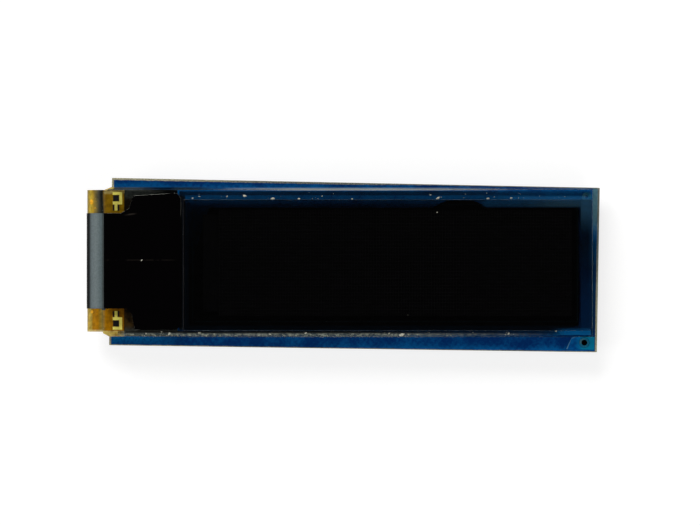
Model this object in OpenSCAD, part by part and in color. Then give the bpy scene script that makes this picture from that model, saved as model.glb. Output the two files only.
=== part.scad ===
// Small monochrome OLED display module.
// A two-glass display panel is taped to the front of a small circuit board.  Its flex circuit is bonded
// under the panel's glass ledge, folds round the board's left end and is soldered to the board's back,
// beside the power parts and four wire pads.
// Millimetres.  +X runs along the board towards the wire pads, +Z is the viewing side, and the origin is
// at the middle of the module's outline, at the level of the lowest part on the back.

/* [Board] */
// How far the board reaches past the glass at its wire end
wire_end_margin = 0.35; // [0.1:0.05:1.5]
// How far the glass reaches past the board at the flex end
flex_end_overhang = 0.45; // [0.2:0.05:0.6]
// How much wider the board is than the glass, at its flex end
board_strips = 1.15; // [0.9:0.05:3]
// How much narrower the hand-cut board is at its wire end
board_taper = 0.17; // [0:0.01:0.4]
// Thickness of the board
board_t = 1.0; // [0.6:0.1:1.6]
// Thickness of the copper on the board
copper_t = 0.035; // [0.02:0.005:0.07]
// Distance of both vias from the wire end
via_edge_x = 0.74; // [0.5:0.02:1.2]
// Distance of the vias from the long edges
via_edge_y = 0.55; // [0.4:0.01:0.8]
// Diameter of the via lands
via_land_d = 0.56; // [0.45:0.01:0.7]
// Hole of the small via
small_via_d = 0.2; // [0.15:0.01:0.3]
// Hole of the large via
large_via_d = 0.34; // [0.22:0.01:0.4]
// Length of the front copper area round the large via
front_copper_l = 1.65; // [1:0.05:2.4]
// Width of the front copper area
front_copper_w = 0.75; // [0.6:0.05:0.85]
// Slant of the front copper area's end
front_copper_slant = 0.35; // [0:0.05:0.6]
// Bare border between copper and the board's edge
copper_border = 0.15; // [0.1:0.01:0.25]

/* [Panel] */
// Length of the front glass
glass_l = 28.5; // [24:0.1:32]
// Width of the front glass
glass_w = 8.6; // [8.3:0.1:11]
// Thickness of the front glass
front_glass_t = 0.5; // [0.3:0.05:0.8]
// Thickness of the rear glass
rear_glass_t = 0.5; // [0.35:0.05:0.8]
// Length of the bare ledge of front glass past the rear glass
ledge_l = 4.35; // [3.6:0.05:6]
// Length of the ground-off ledge corners along the glass
corner_cut_l = 0.4; // [0:0.05:0.8]
// Width of the ground-off ledge corners across the glass
corner_cut_w = 0.2; // [0:0.05:0.5]
// Angle by which the panel was stuck down askew
panel_skew = 1.0; // [0:0.1:1.5]
// How far the panel was stuck down above the board's middle line
panel_y = 0.15; // [-0.2:0.05:0.2]
// Height of the edge seal between the glasses
seal_t = 0.03; // [0.02:0.005:0.05]
// Width of the edge seal
seal_w = 0.55; // [0.3:0.05:0.8]
// Distance of the seal from the glass edge
seal_inset = 0.12; // [0.05:0.01:0.2]
// Width of the rear glass rim round its recess
rim_w = 0.9; // [0.85:0.05:1.4]
// Depth of the recess in the rear glass
recess_depth = 0.25; // [0.15:0.01:0.3]
// Thickness of the drying sheet in the recess
getter_t = 0.1; // [0.05:0.01:0.14]
// Gap between the drying sheet and the wall of the recess
getter_gap = 0.6; // [0.2:0.05:1]
// Thickness of the light-emitting layers
emitter_t = 0.02; // [0.01:0.005:0.025]
// Distance of the light-emitting layers from the recess wall at the ledge
emitter_feed = 1.5; // [0.5:0.1:3]
// Distance of the light-emitting layers from the other recess walls
emitter_margin = 0.32; // [0.1:0.02:0.8]

/* [Polarizer and tapes] */
// Thickness of the polarizer film
polarizer_t = 0.2; // [0.1:0.01:0.3]
// Gap between the ledge tape and the polarizer
polarizer_gap = 0.12; // [0.05:0.01:0.3]
// Clear glass left at the wire end
polarizer_end = 0.04; // [0.02:0.01:0.4]
// Clear glass left along the top
polarizer_top = 0.61; // [0.3:0.01:0.9]
// Clear glass left along the bottom
polarizer_bottom = 0.37; // [0.2:0.01:0.9]
// Thickness of the black ledge tape
ledge_tape_t = 0.08; // [0.05:0.01:0.18]
// Distance of the ledge tape's tongue from the glass end
ledge_tape_start = 0.1; // [0.05:0.01:0.4]
// Distance of the ledge tape's far edge from the glass end
ledge_tape_end = 4.58; // [4:0.01:5.5]
// Clear glass above the ledge tape's far edge
ledge_tape_top = 0.22; // [0.15:0.01:0.6]
// Clear glass below the ledge tape's far edge
ledge_tape_bottom = 0.42; // [0.15:0.01:0.6]
// How much the ledge tape's top edge falls from its far edge to its shoulder
shoulder_taper = 0.17; // [0:0.01:0.3]
// Radius of the ledge tape's far corners
ledge_tape_r = 0.46; // [0.1:0.02:0.8]
// Distance of the tape's shoulder from the glass end
shoulder_x = 1.84; // [1.6:0.02:2.4]
// Length of the slant between tongue and shoulder
shoulder_slant = 0.58; // [0.3:0.02:0.8]
// How much longer the slant of the top notch is than that of the bottom one
slant_spread = 0.28; // [0:0.02:0.4]
// How far the two notches are cut out of line
notch_lean = 0.08; // [0:0.02:0.4]
// Thickness of the black mounting tape
tape_t = 0.2; // [0.1:0.02:0.5]
// Mounting tape's distance from the glass at the wire end
tape_end = 0.81; // [0.3:0.01:1.6]
// Mounting tape's distance from the glass along the top
tape_top = 1.08; // [0.7:0.01:1.6]
// Mounting tape's distance from the glass along the bottom
tape_bottom = 0.41; // [0.25:0.01:1]
// Lean of the mounting tape's hand-cut flex end
tape_lean = 1.75; // [0:0.05:2.4]
// Length of the cut-off corner of the mounting tape
tape_cut_l = 0.87; // [0:0.01:1.5]
// Width of the cut-off corner of the mounting tape
tape_cut_w = 0.29; // [0:0.01:0.8]
// Height of the tape's bulge on its top edge
bulge_h = 0.42; // [0:0.02:0.55]
// Length of the bulge
bulge_l = 3.2; // [1:0.1:5]
// Distance of the bulge's middle from the glass at the wire end
bulge_x = 7.7; // [5:0.1:10]

/* [Driver chip] */
// Length of the driver chip across the ledge
chip_l = 6.8; // [5:0.1:7.4]
// Width of the driver chip
chip_w = 0.9; // [0.7:0.05:1.2]
// Thickness of the driver chip
chip_t = 0.3; // [0.2:0.01:0.38]
// Distance of the chip's middle from the glass end
chip_x = 2.75; // [2.3:0.05:3.2]
// Thickness of the bonding films
bond_t = 0.02; // [0.01:0.005:0.04]
// Depth of the resin coat under the ledge
resin_t = 0.42; // [0.4:0.01:0.5]
// Distance of the resin from the long edges of the glass
resin_inset = 0.05; // [0.02:0.01:0.3]

/* [Flex circuit] */
// Distance of the flex circuit's long edges from the glass edges
flex_inset = 0.18; // [0.15:0.01:0.4]
// Offset of the flex circuit from the panel's middle line
flex_shift = 0.13; // [-0.13:0.01:0.14]
// Thickness of the base film
film_t = 0.08; // [0.05:0.01:0.12]
// Thickness of the flex conductors
trace_t = 0.018; // [0.012:0.002:0.03]
// Thickness of the grey cover coat
coat_t = 0.02; // [0.015:0.005:0.04]
// Length of the flex bonded under the glass
bond_l = 1.3; // [1:0.05:1.5]
// Straight length between the glass end and the fold
fold_gap = 0.02; // [0.01:0.01:0.3]
// Length of the film behind the board, past the fold
tail_l = 3.1; // [2.4:0.1:3.6]
// Number of conductors
trace_count = 14; // [8:1:16]
// Width of a conductor
trace_w = 0.15; // [0.1:0.01:0.16]
// Length of the bare fingers past the film
finger_l = 1.2; // [0.8:0.05:1.5]
// Distance of the cover coat's long edges from the film's
coat_inset = 1.35; // [1.3:0.01:1.6]
// Margin of the cover coat past the outer conductors
coat_margin = 0.12; // [0.02:0.01:0.3]
// Length of bare film between the cover coat and the tail's end
coat_setback = 0.4; // [0.1:0.05:0.8]
// Size of the square opening in an alignment mark
mark_hole = 0.38; // [0.3:0.01:0.5]
// Line width of an alignment mark
mark_line = 0.17; // [0.08:0.01:0.2]
// Length of the stem of an alignment mark
mark_stem = 0.36; // [0.2:0.01:0.45]
// Distance of the alignment marks from the film's long edges
mark_inset = 0.12; // [0.05:0.01:0.3]
// Distance of the alignment marks from the glass end
mark_x = 0.6; // [0.3:0.01:0.7]
// Thickness of the dark metal marks on the glass
glass_mark_t = 0.008; // [0.004:0.001:0.01]
// Clearance between a glass mark and the flex mark round it
mark_clearance = 0.02; // [0.01:0.005:0.05]

/* [Board pads] */
// Length of a flex pad
flex_pad_l = 1.5; // [1.2:0.05:1.8]
// Width of a flex pad
flex_pad_w = 0.26; // [0.24:0.01:0.28]
// Gap between the flex pads and the pads of the capacitors
cap_row_gap = 0.55; // [0.3:0.05:1.2]
// Gap between the capacitors and the resistors beside them
resistor_row_gap = 1.35; // [0.9:0.05:2]
// Gap between the feed capacitors and the regulator's feet
feed_cap_gap = 1.6; // [1.1:0.05:2.4]
// Gap between the regulator's feet and the pull-up resistors
pull_up_gap = 1.9; // [1.4:0.05:2.4]
// Gap between the pull-up resistors and the wire pads
wire_pad_gap = 2.05; // [1:0.05:2.6]
// Gap between the flex film and the flex pads
flex_pad_gap = 0.15; // [0.08:0.01:0.3]
// Height of the solder on the flex fingers, from the pad
flex_solder_h = 0.11; // [0.1:0.01:0.13]
// Length of a wire pad
wire_pad_l = 2.4; // [1.5:0.1:3]
// Width of a wire pad
wire_pad_w = 1.4; // [1:0.05:1.7]
// Number of wire pads
wire_pad_count = 4; // [2:1:4]
// Pitch of the wire pads
wire_pitch = 2.0; // [1.8:0.1:2.3]
// Distance of the wire pads from the board's end
wire_pad_edge = 0.9; // [0.4:0.05:1.5]
// Diameter of the round test pad
test_pad_d = 0.7; // [0.4:0.05:1]
// Width of the board's signal tracks
track_w = 0.15; // [0.1:0.01:0.2]
// Width of the board's power tracks
power_track_w = 0.3; // [0.2:0.02:0.5]
// Length of the slanted stretch of a track
fan_l = 0.35; // [0.2:0.05:0.5]
// Gap between the large capacitors and the track that passes them
lane_gap = 0.35; // [0.25:0.05:0.5]
// How much wider the regulator's pads are than its legs
leg_pad_extra = 0.2; // [0.1:0.02:0.4]

/* [Chip parts] */
// Length of a large capacitor
large_cap_l = 2.0; // [1.8:0.05:2.2]
// Width of a large capacitor
large_cap_w = 1.25; // [1:0.05:1.4]
// Height of a large capacitor
large_cap_h = 1.1; // [0.9:0.05:1.3]
// Length of a small capacitor or a resistor
small_part_l = 1.6; // [1.4:0.05:1.75]
// Width of a small capacitor or a resistor
small_part_w = 0.8; // [0.6:0.05:0.9]
// Height of a small capacitor
small_cap_h = 0.8; // [0.6:0.05:0.9]
// Height of a resistor
resistor_h = 0.45; // [0.35:0.01:0.6]
// Length of the metal ends
end_l = 0.35; // [0.25:0.01:0.4]
// Wall of the metal ends
end_t = 0.03; // [0.02:0.005:0.05]
// Thickness of the black coat on a resistor
resistor_coat_t = 0.03; // [0.02:0.005:0.04]
// How far the part pads reach past the parts
pad_reach = 0.35; // [0.25:0.01:0.4]
// Share of a metal end's height that the solder climbs
solder_climb = 0.6; // [0.3:0.05:0.9]

/* [Regulator] */
// Length of the regulator body along its row of legs
regulator_l = 2.9; // [2.6:0.05:3.1]
// Width of the regulator body
regulator_w = 1.3; // [1.2:0.05:1.5]
// Height of the regulator above its pads
regulator_h = 1.1; // [0.9:0.05:1.3]
// Air gap between the regulator body and the board's pads
regulator_gap = 0.06; // [0.03:0.01:0.1]
// Span over the feet of the legs
leg_span = 2.4; // [2.2:0.05:2.6]
// Pitch of the paired legs
leg_pitch = 1.9; // [1.7:0.05:2]
// Width of a leg
leg_w = 0.4; // [0.3:0.01:0.5]
// Thickness of a leg
leg_t = 0.12; // [0.1:0.01:0.16]
// Length of a leg's foot
foot_l = 0.3; // [0.2:0.01:0.34]
// Draft of the moulded body on each side
body_draft = 0.06; // [0.02:0.01:0.12]

/* [Hidden] */

curve_fn = 64;
small_fn = 32;
cut = 1;

// The board, round the glass, and the panel's middle from the board's.
board_l = glass_l - flex_end_overhang + wire_end_margin;
board_w = glass_w + board_strips;
panel_x = (glass_l - board_l) / 2 - flex_end_overhang;

// Levels, from the lowest part on the back upwards.
part_z = max(large_cap_h, small_cap_h, resistor_h, regulator_h);
board_back = part_z + copper_t;
board_front = board_back + board_t;
rear_glass_z = board_front + tape_t;
seal_z = rear_glass_z + rear_glass_t;
ledge_z = seal_z + seal_t;
glass_front = ledge_z + front_glass_t;

// The flex circuit's layers, counted outwards from the inside of its fold.
film_top = ledge_z - bond_t - trace_t - film_t;
fold_r = (film_top - board_back) / 2;
fold_z = board_back + fold_r;
trace_r = fold_r + film_t;
coat_r = trace_r + trace_t;
outer_r = coat_r + coat_t;
flex_w = glass_w - 2 * flex_inset;
coat_w = flex_w - 2 * coat_inset;
trace_pitch = (coat_w - 2 * coat_margin - trace_w) / (trace_count - 1);

// Places on the panel, from its middle.
glass_end = -glass_l / 2;
fold_x = glass_end - fold_gap;
film_end = fold_x + tail_l;
tape_x2 = glass_l / 2 - tape_end;
tape_y1 = tape_bottom - glass_w / 2;
tape_y2 = glass_w / 2 - tape_top;
rear_x1 = glass_end + ledge_l;
rear_l = glass_l - ledge_l;
recess_l = rear_l - 2 * rim_w;
recess_w = glass_w - 2 * rim_w;
recess_x = rear_x1 + rim_w;
tongue_x1 = glass_end + ledge_tape_start;
tongue_w = coat_w;
tape_far_x = glass_end + ledge_tape_end;
polarizer_x = tape_far_x + polarizer_gap;

// The module's ends, which put the origin in the middle of its outline.
function skewed_x(p) = panel_x + p[0] * cos(panel_skew) - p[1] * sin(panel_skew);
function skewed_y(p) = panel_y + p[0] * sin(panel_skew) + p[1] * cos(panel_skew);
left_end = min(
    skewed_x([fold_x - trace_r, flex_shift + flex_w / 2]),
    skewed_x([fold_x - outer_r, flex_shift + coat_w / 2]));
right_end = max(board_l / 2, skewed_x([glass_l / 2, -glass_w / 2]));
middle_x = (left_end + right_end) / 2;

// The flex pads line up with the middle of the fingers.
flex_pad_x = skewed_x([film_end, flex_shift]) + flex_pad_gap;
flex_pad_y = skewed_y([film_end + finger_l / 2, flex_shift]);

// Places of the chip parts on the board's back, from its middle: their rows line up with the wire pads.
inner_row_y = wire_pitch / 2;
outer_row_y = 3 * wire_pitch / 2;
cap_row_x = flex_pad_x + flex_pad_l + cap_row_gap + pad_reach + large_cap_l / 2;
resistor_row_x = cap_row_x + large_cap_l / 2 + resistor_row_gap + small_part_l / 2;
wire_pad_x = board_l / 2 - wire_pad_edge - wire_pad_l;
pull_up_x = wire_pad_x - wire_pad_gap - small_part_l / 2;
regulator_x = pull_up_x - small_part_l / 2 - pull_up_gap - leg_span / 2;
feed_cap_x = regulator_x - leg_span / 2 - feed_cap_gap - small_part_l / 2;
test_pad_x = feed_cap_x;
large_caps = [[cap_row_x, outer_row_y], [cap_row_x, -outer_row_y]];
small_caps = [[cap_row_x, inner_row_y], [cap_row_x, -inner_row_y],
    [feed_cap_x, outer_row_y], [feed_cap_x, -outer_row_y]];
resistors = [[resistor_row_x, outer_row_y], [resistor_row_x, inner_row_y],
    [resistor_row_x, -inner_row_y], [resistor_row_x, -outer_row_y],
    [pull_up_x, inner_row_y], [pull_up_x, -inner_row_y]];
via_x = board_l / 2 - via_edge_x;
via_y = (board_w - board_taper) / 2 - via_edge_y;

// ---- Helpers ----

// Puts what is drawn from the board's middle into the module's frame.
module on_board() {
    translate([-middle_x, 0, 0]) children();
}

// Puts what is drawn from the panel's middle into the module's frame, askew as the panel is.
module on_panel() {
    on_board() translate([panel_x, panel_y, 0]) rotate([0, 0, panel_skew]) children();
}

// A sheet of thickness t on level z, from a flat outline.
module sheet(z, t) {
    translate([0, 0, z]) linear_extrude(t) children();
}

// One straight run of a track, from a to b.
module track_run(a, b, w) {
    run = b - a;
    translate(a) rotate(atan2(run[1], run[0])) translate([0, -w / 2]) square([norm(run), w]);
}

// A track through the points of a route, with round bends and ends.
module track(route, w) {
    for (i = [0:len(route) - 2]) track_run(route[i], route[i + 1], w);
    for (p = route) translate(p) circle(d = w, $fn = small_fn);
}

// Side view of a folded layer: a run under the glass, the half-round fold and the run behind the board.
// r is the layer's inner radius, over_l and under_l are the runs past the fold's ends.
module fold_profile(r, t, over_l, under_l) {
    difference() {
        circle(r + t, $fn = curve_fn);
        circle(r, $fn = curve_fn);
        translate([0, -r - t - cut]) square([r + t + cut, 2 * (r + t + cut)]);
    }
    translate([0, r]) square([over_l, t]);
    translate([0, -r - t]) square([under_l, t]);
}

// A folded layer of width w, centred on y, standing in the panel's frame.
module folded_layer(r, t, over_l, under_l, y, w) {
    translate([fold_x, y + w / 2, fold_z]) rotate([90, 0, 0])
        linear_extrude(w) fold_profile(r, t, over_l, under_l);
}

// Y of each conductor, from the panel's middle line.
function trace_y(i) = flex_shift + (i - (trace_count - 1) / 2) * trace_pitch;

// ---- Circuit board ----

module board_outline() {
    half_l = board_l / 2;
    half_w = board_w / 2;
    far_half_w = (board_w - board_taper) / 2;
    polygon([[-half_l, -half_w], [half_l, -far_half_w], [half_l, far_half_w], [-half_l, half_w]]);
}

// The hole that is drilled in the board for a via, with room for its plating.
module via_bore(y, hole_d) {
    translate([via_x, y, board_back - cut])
        cylinder(h = board_t + 2 * cut, d = hole_d + 2 * copper_t, $fn = small_fn);
}

module circuit_board() {
    color("#0a3f74") on_board() difference() {
        sheet(board_back, board_t) board_outline();
        via_bore(via_y, small_via_d);
        via_bore(-via_y, large_via_d);
    }
}

// A plated via: a tube with a flat land on the front, closed with a solder cap on the back.
module plated_via(hole_d) {
    translate([0, 0, board_back]) rotate_extrude($fn = small_fn) {
        translate([hole_d / 2, -copper_t]) square([copper_t, board_t + 2 * copper_t]);
        translate([hole_d / 2, board_t]) square([(via_land_d - hole_d) / 2, copper_t]);
        translate([0, -copper_t]) square([via_land_d / 2, copper_t]);
    }
}

module plated_vias() {
    color("#b9c4b4") on_board() {
        translate([via_x, via_y, 0]) plated_via(small_via_d);
        translate([via_x, -via_y, 0]) plated_via(large_via_d);
    }
}

// The copper area on the front, round the large via, with one slanted end.
module front_copper() {
    x2 = board_l / 2 - copper_border;
    x1 = x2 - front_copper_l;
    y1 = copper_border - (board_w - board_taper) / 2;
    y2 = y1 + front_copper_w;
    color("#0e5a80") on_board() sheet(board_front, copper_t) difference() {
        polygon([[x1, y1], [x2, y1], [x2, y2], [x1 + front_copper_slant, y2]]);
        translate([via_x, -via_y]) circle(d = via_land_d + 2 * mark_clearance, $fn = small_fn);
    }
}

// ---- Pads and tracks on the board's back ----

// Both pads of a two-ended part.
module pad_pair(l, w) {
    for (side = [-1, 1]) translate([side * (l / 2 + pad_reach / 2 - end_l / 2), 0])
        square([end_l + pad_reach, w], center = true);
}

// The three pads of the regulator, under the feet of its legs.
module regulator_pads() {
    leg_pad = [foot_l + 2 * pad_reach, leg_w + leg_pad_extra];
    foot_x = (leg_span - foot_l) / 2;
    for (y = [-leg_pitch / 2, leg_pitch / 2]) translate([-foot_x, y]) square(leg_pad, center = true);
    translate([foot_x, 0]) square(leg_pad, center = true);
}

module part_pad_outlines() {
    translate([test_pad_x, 0]) circle(d = test_pad_d, $fn = small_fn);
    for (p = large_caps) translate(p) pad_pair(large_cap_l, large_cap_w);
    for (p = concat(small_caps, resistors)) translate(p) pad_pair(small_part_l, small_part_w);
    translate([regulator_x, 0]) regulator_pads();
}

module part_pads() {
    color("#c9c9c4") on_board() sheet(board_back - copper_t, copper_t) part_pad_outlines();
}

module flex_pad_outlines() {
    for (i = [0:trace_count - 1])
        translate([flex_pad_x, flex_pad_y + trace_y(i) - flex_shift - flex_pad_w / 2])
            square([flex_pad_l, flex_pad_w]);
}

module flex_pads() {
    color("#d8b25a") on_board() sheet(board_back - copper_t, copper_t) flex_pad_outlines();
}

module wire_pad_outlines() {
    for (i = [0:wire_pad_count - 1])
        translate([wire_pad_x, (i - (wire_pad_count - 1) / 2) * wire_pitch - wire_pad_w / 2])
            square([wire_pad_l, wire_pad_w]);
}

module wire_pads() {
    color("#d8b25a") on_board() sheet(board_back - copper_t, copper_t) wire_pad_outlines();
}

// Tracks under the solder mask, from the flex pads past the chip parts to the wire pads.
module track_routes() {
    pad_end = flex_pad_x + flex_pad_l;
    fan_x = pad_end + fan_l;
    cap_left = cap_row_x - large_cap_l / 2;
    cap_right = cap_row_x + large_cap_l / 2;
    riser_x = cap_right + pad_reach / 2;
    res_left = resistor_row_x - small_part_l / 2;
    res_right = resistor_row_x + small_part_l / 2;
    lane_y = (inner_row_y + outer_row_y) / 2 + track_w / 2;
    edge_lane_y = outer_row_y + large_cap_w / 2 + lane_gap;
    first_wire_y = (wire_pad_count - 1) * wire_pitch / 2;
    reg_left = regulator_x - leg_span / 2;
    fork_x = regulator_x + leg_span / 2 + pull_up_gap / 2;
    pull_left = pull_up_x - small_part_l / 2;
    pad_y = flex_pad_y - flex_shift;
    last = trace_count - 1;
    for (side = [-1, 1]) {
        outer_y = side * outer_row_y;
        inner_y = side * inner_row_y;
        first_y = pad_y + trace_y(side > 0 ? last : 0);
        third_y = pad_y + trace_y(side > 0 ? last - 2 : 2);
        fifth_y = pad_y + trace_y(side > 0 ? last - 4 : 4);
        track([[pad_end, first_y], [fan_x, outer_y], [cap_left, outer_y]], track_w);
        track([[pad_end, third_y], [fan_x, side * lane_y], [riser_x, side * lane_y], [riser_x, outer_y],
            [res_left, outer_y]], track_w);
        track([[pad_end, fifth_y], [fan_x, inner_y], [cap_row_x - small_part_l / 2, inner_y]], track_w);
        track([[cap_row_x + small_part_l / 2, inner_y], [res_left, inner_y]], track_w);
        track([[res_right, outer_y], [feed_cap_x - small_part_l / 2, outer_y]], track_w);
        track([[res_right, inner_y], [reg_left - 2 * lane_gap - fan_l, inner_y],
            [reg_left - 2 * lane_gap, side * leg_pitch / 2], [reg_left, side * leg_pitch / 2]], track_w);
        track([[pull_up_x + small_part_l / 2, inner_y], [wire_pad_x, inner_y]], track_w);
        track([[feed_cap_x + small_part_l / 2, outer_y], [wire_pad_x - 2 * lane_gap, outer_y],
            [wire_pad_x, side * first_wire_y]], power_track_w);
        track([[fork_x, 0], [fork_x + fan_l, inner_y], [pull_left, inner_y]], power_track_w);
    }
    track([[regulator_x + leg_span / 2, 0], [fork_x, 0]], power_track_w);
    track([[pad_end, pad_y + trace_y(last / 2)], [fan_x, 0], [test_pad_x, 0]], track_w);
    track([[cap_left, outer_row_y], [cap_left, edge_lane_y], [via_x, edge_lane_y], [via_x, via_y]], track_w);
}

module back_tracks() {
    color("#0d4f86") on_board() sheet(board_back - copper_t, copper_t) difference() {
        track_routes();
        part_pad_outlines();
        flex_pad_outlines();
        wire_pad_outlines();
        translate([via_x, via_y]) circle(d = via_land_d, $fn = small_fn);
    }
}

// ---- Panel ----

// The front glass, with both corners of its ledge ground off.
module front_glass_outline() {
    x1 = glass_end;
    x2 = glass_l / 2;
    y = glass_w / 2;
    polygon([[x1, corner_cut_w - y], [x1 + corner_cut_l, -y], [x2, -y], [x2, y], [x1 + corner_cut_l, y],
        [x1, y - corner_cut_w]]);
}

module front_glass() {
    color("#8fa9b8", 0.35) on_panel() sheet(ledge_z, front_glass_t) front_glass_outline();
}

module rear_glass_outline() {
    translate([rear_x1, -glass_w / 2]) square([rear_l, glass_w]);
}

module recess_outline() {
    translate([recess_x, -recess_w / 2]) square([recess_l, recess_w]);
}

// The rear glass, with the recess that keeps it off the light-emitting layers.
module rear_glass() {
    color("#8fa9b8", 0.35) on_panel() difference() {
        sheet(rear_glass_z, rear_glass_t) rear_glass_outline();
        sheet(seal_z - recess_depth, recess_depth + cut) recess_outline();
    }
}

module edge_seal() {
    outer_l = rear_l - 2 * seal_inset;
    outer_w = glass_w - 2 * seal_inset;
    color("#2c2a24") on_panel() sheet(seal_z, seal_t) difference() {
        translate([rear_x1 + seal_inset, -outer_w / 2]) square([outer_l, outer_w]);
        translate([rear_x1 + seal_inset + seal_w, seal_w - outer_w / 2])
            square([outer_l - 2 * seal_w, outer_w - 2 * seal_w]);
    }
}

module getter_sheet() {
    color("#3a3a3c") on_panel() sheet(seal_z - recess_depth, getter_t)
        translate([recess_x + getter_gap, getter_gap - recess_w / 2])
            square([recess_l - 2 * getter_gap, recess_w - 2 * getter_gap]);
}

module emitter_layers() {
    color("#1d1a1a") on_panel() sheet(ledge_z - emitter_t, emitter_t)
        translate([recess_x + emitter_feed, emitter_margin - recess_w / 2])
            square([recess_l - emitter_feed - emitter_margin, recess_w - 2 * emitter_margin]);
}

module polarizer() {
    x2 = glass_l / 2 - polarizer_end;
    y1 = polarizer_bottom - glass_w / 2;
    y2 = glass_w / 2 - polarizer_top;
    color("#07090d") on_panel() sheet(glass_front, polarizer_t)
        translate([polarizer_x, y1]) square([x2 - polarizer_x, y2 - y1]);
}

// The black mounting tape, with its hand-cut flex end, cut-off corner and bulging top edge.
module mounting_tape() {
    x1 = rear_x1 + seal_inset;
    bulge_mid = glass_l / 2 - bulge_x;
    lean_foot = tape_y1 + (tape_y2 - tape_y1) / 4;
    color("#0b0b0c") on_panel() sheet(board_front, tape_t) polygon([
        [x1, tape_y1], [tape_x2 - tape_cut_l, tape_y1], [tape_x2, tape_y1 + tape_cut_w], [tape_x2, tape_y2],
        [bulge_mid + bulge_l / 2, tape_y2], [bulge_mid + bulge_l / 4, tape_y2 + bulge_h],
        [bulge_mid - bulge_l / 4, tape_y2 + bulge_h], [bulge_mid - bulge_l / 2, tape_y2],
        [x1 + tape_lean, tape_y2], [x1, lean_foot]]);
}

// ---- Ledge ----

// The ledge tape's top edge, with side 1, or its bottom edge, with side -1.
function ledge_tape_y(side) = side > 0 ? glass_w / 2 - ledge_tape_top : ledge_tape_bottom - glass_w / 2;

// One side of the ledge tape's outline, from its tongue to its far corner.
function ledge_tape_side(side) =
    let (shoulder = glass_end + shoulder_x - side * notch_lean / 2,
        slant = shoulder_slant + side * slant_spread / 2,
        tongue_y = flex_shift + side * tongue_w / 2,
        shoulder_y = ledge_tape_y(side) - (side > 0 ? shoulder_taper : 0))
    [[tongue_x1, tongue_y], [shoulder - slant, tongue_y],
    [shoulder - slant / 3, tongue_y + (shoulder_y - tongue_y) / 4], [shoulder, shoulder_y],
    [tape_far_x, ledge_tape_y(side)]];

module ledge_tape_outline() {
    left_side = ledge_tape_side(1);
    right_side = ledge_tape_side(-1);
    last = len(right_side) - 1;
    difference() {
        polygon(concat(left_side, [for (i = [last:-1:0]) right_side[i]]));
        for (side = [-1, 1]) translate([tape_far_x, ledge_tape_y(side)]) difference() {
            square(2 * ledge_tape_r, center = true);
            translate([-ledge_tape_r, -side * ledge_tape_r]) circle(ledge_tape_r, $fn = curve_fn);
        }
    }
}

module ledge_tape() {
    color("#050506") on_panel() sheet(glass_front, ledge_tape_t) ledge_tape_outline();
}

module chip_outline() {
    translate([glass_end + chip_x - chip_w / 2, flex_shift - chip_l / 2]) square([chip_w, chip_l]);
}

module driver_chip() {
    color("#55585c") on_panel() sheet(ledge_z - bond_t - chip_t, chip_t) chip_outline();
}

// The resin coat fills the ledge between the flex and the rear glass, and wraps the chip.
module ledge_resin() {
    x1 = glass_end + bond_l;
    resin_w = glass_w - 2 * resin_inset;
    color("#16181a") on_panel() difference() {
        sheet(ledge_z - resin_t, resin_t) translate([x1, -resin_w / 2]) square([rear_x1 - x1, resin_w]);
        sheet(ledge_z - bond_t - chip_t, bond_t + chip_t + cut) chip_outline();
    }
}

// The two conductive films, under the driver chip and under the flex conductors.
module bond_films() {
    color("#6f6a55") on_panel() sheet(ledge_z - bond_t, bond_t) {
        chip_outline();
        translate([glass_end, flex_shift - coat_w / 2]) square([bond_l, coat_w]);
    }
}

// ---- Flex circuit ----

// The opening of an alignment mark, on the side that is given.
module mark_opening_outline(side, margin) {
    x = glass_end + mark_x;
    y = flex_shift + side * (flex_w / 2 - mark_inset - mark_line);
    translate([x + margin, side > 0 ? y - mark_hole + margin : y + margin])
        square([mark_hole - 2 * margin, mark_hole - 2 * margin]);
}

// An alignment mark: a square bracket that opens towards the glass end, on a short stem.
module flex_mark_outline(side) {
    x = glass_end + mark_x;
    y = flex_shift + side * (flex_w / 2 - mark_inset);
    height = mark_hole + 2 * mark_line;
    difference() {
        translate([x, side > 0 ? y - height : y]) square([mark_hole + mark_line, height]);
        mark_opening_outline(side, 0);
    }
    translate([x + mark_hole / 2 - mark_line / 2, side > 0 ? y - height - mark_stem : y + height])
        square([mark_line, mark_stem]);
}

module flex_marks() {
    color("#d9b44a") on_panel() sheet(film_top + film_t, trace_t)
        for (side = [-1, 1]) flex_mark_outline(side);
}

// The dark metal marks on the glass that the flex marks are set round, with a bar on each side of a stem.
module glass_marks() {
    x = glass_end + mark_x;
    bar_w = (mark_hole - mark_line) / 2 - mark_clearance;
    color("#15130f") on_panel() sheet(ledge_z - glass_mark_t, glass_mark_t) for (side = [-1, 1]) {
        mark_opening_outline(side, mark_clearance);
        stem_y = flex_shift + side * (flex_w / 2 - mark_inset - mark_hole - 2 * mark_line - mark_stem);
        for (bar_x = [x, x + mark_hole - bar_w])
            translate([bar_x, side > 0 ? stem_y : stem_y - mark_stem + mark_clearance])
                square([bar_w, mark_stem - mark_clearance]);
    }
}

module flex_film() {
    color("#a8740c") on_panel() folded_layer(fold_r, film_t, bond_l + fold_gap, tail_l, flex_shift, flex_w);
}

// The conductors lie on the outside of the fold and run past the film as bare fingers.
module flex_traces() {
    color("#b87333") on_panel() for (i = [0:trace_count - 1])
        folded_layer(trace_r, trace_t, bond_l + fold_gap, tail_l + finger_l, trace_y(i), trace_w);
}

module flex_coat() {
    color("#6f7a7c") on_panel()
        folded_layer(coat_r, coat_t, fold_gap, tail_l - coat_setback, flex_shift, coat_w);
}

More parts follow.
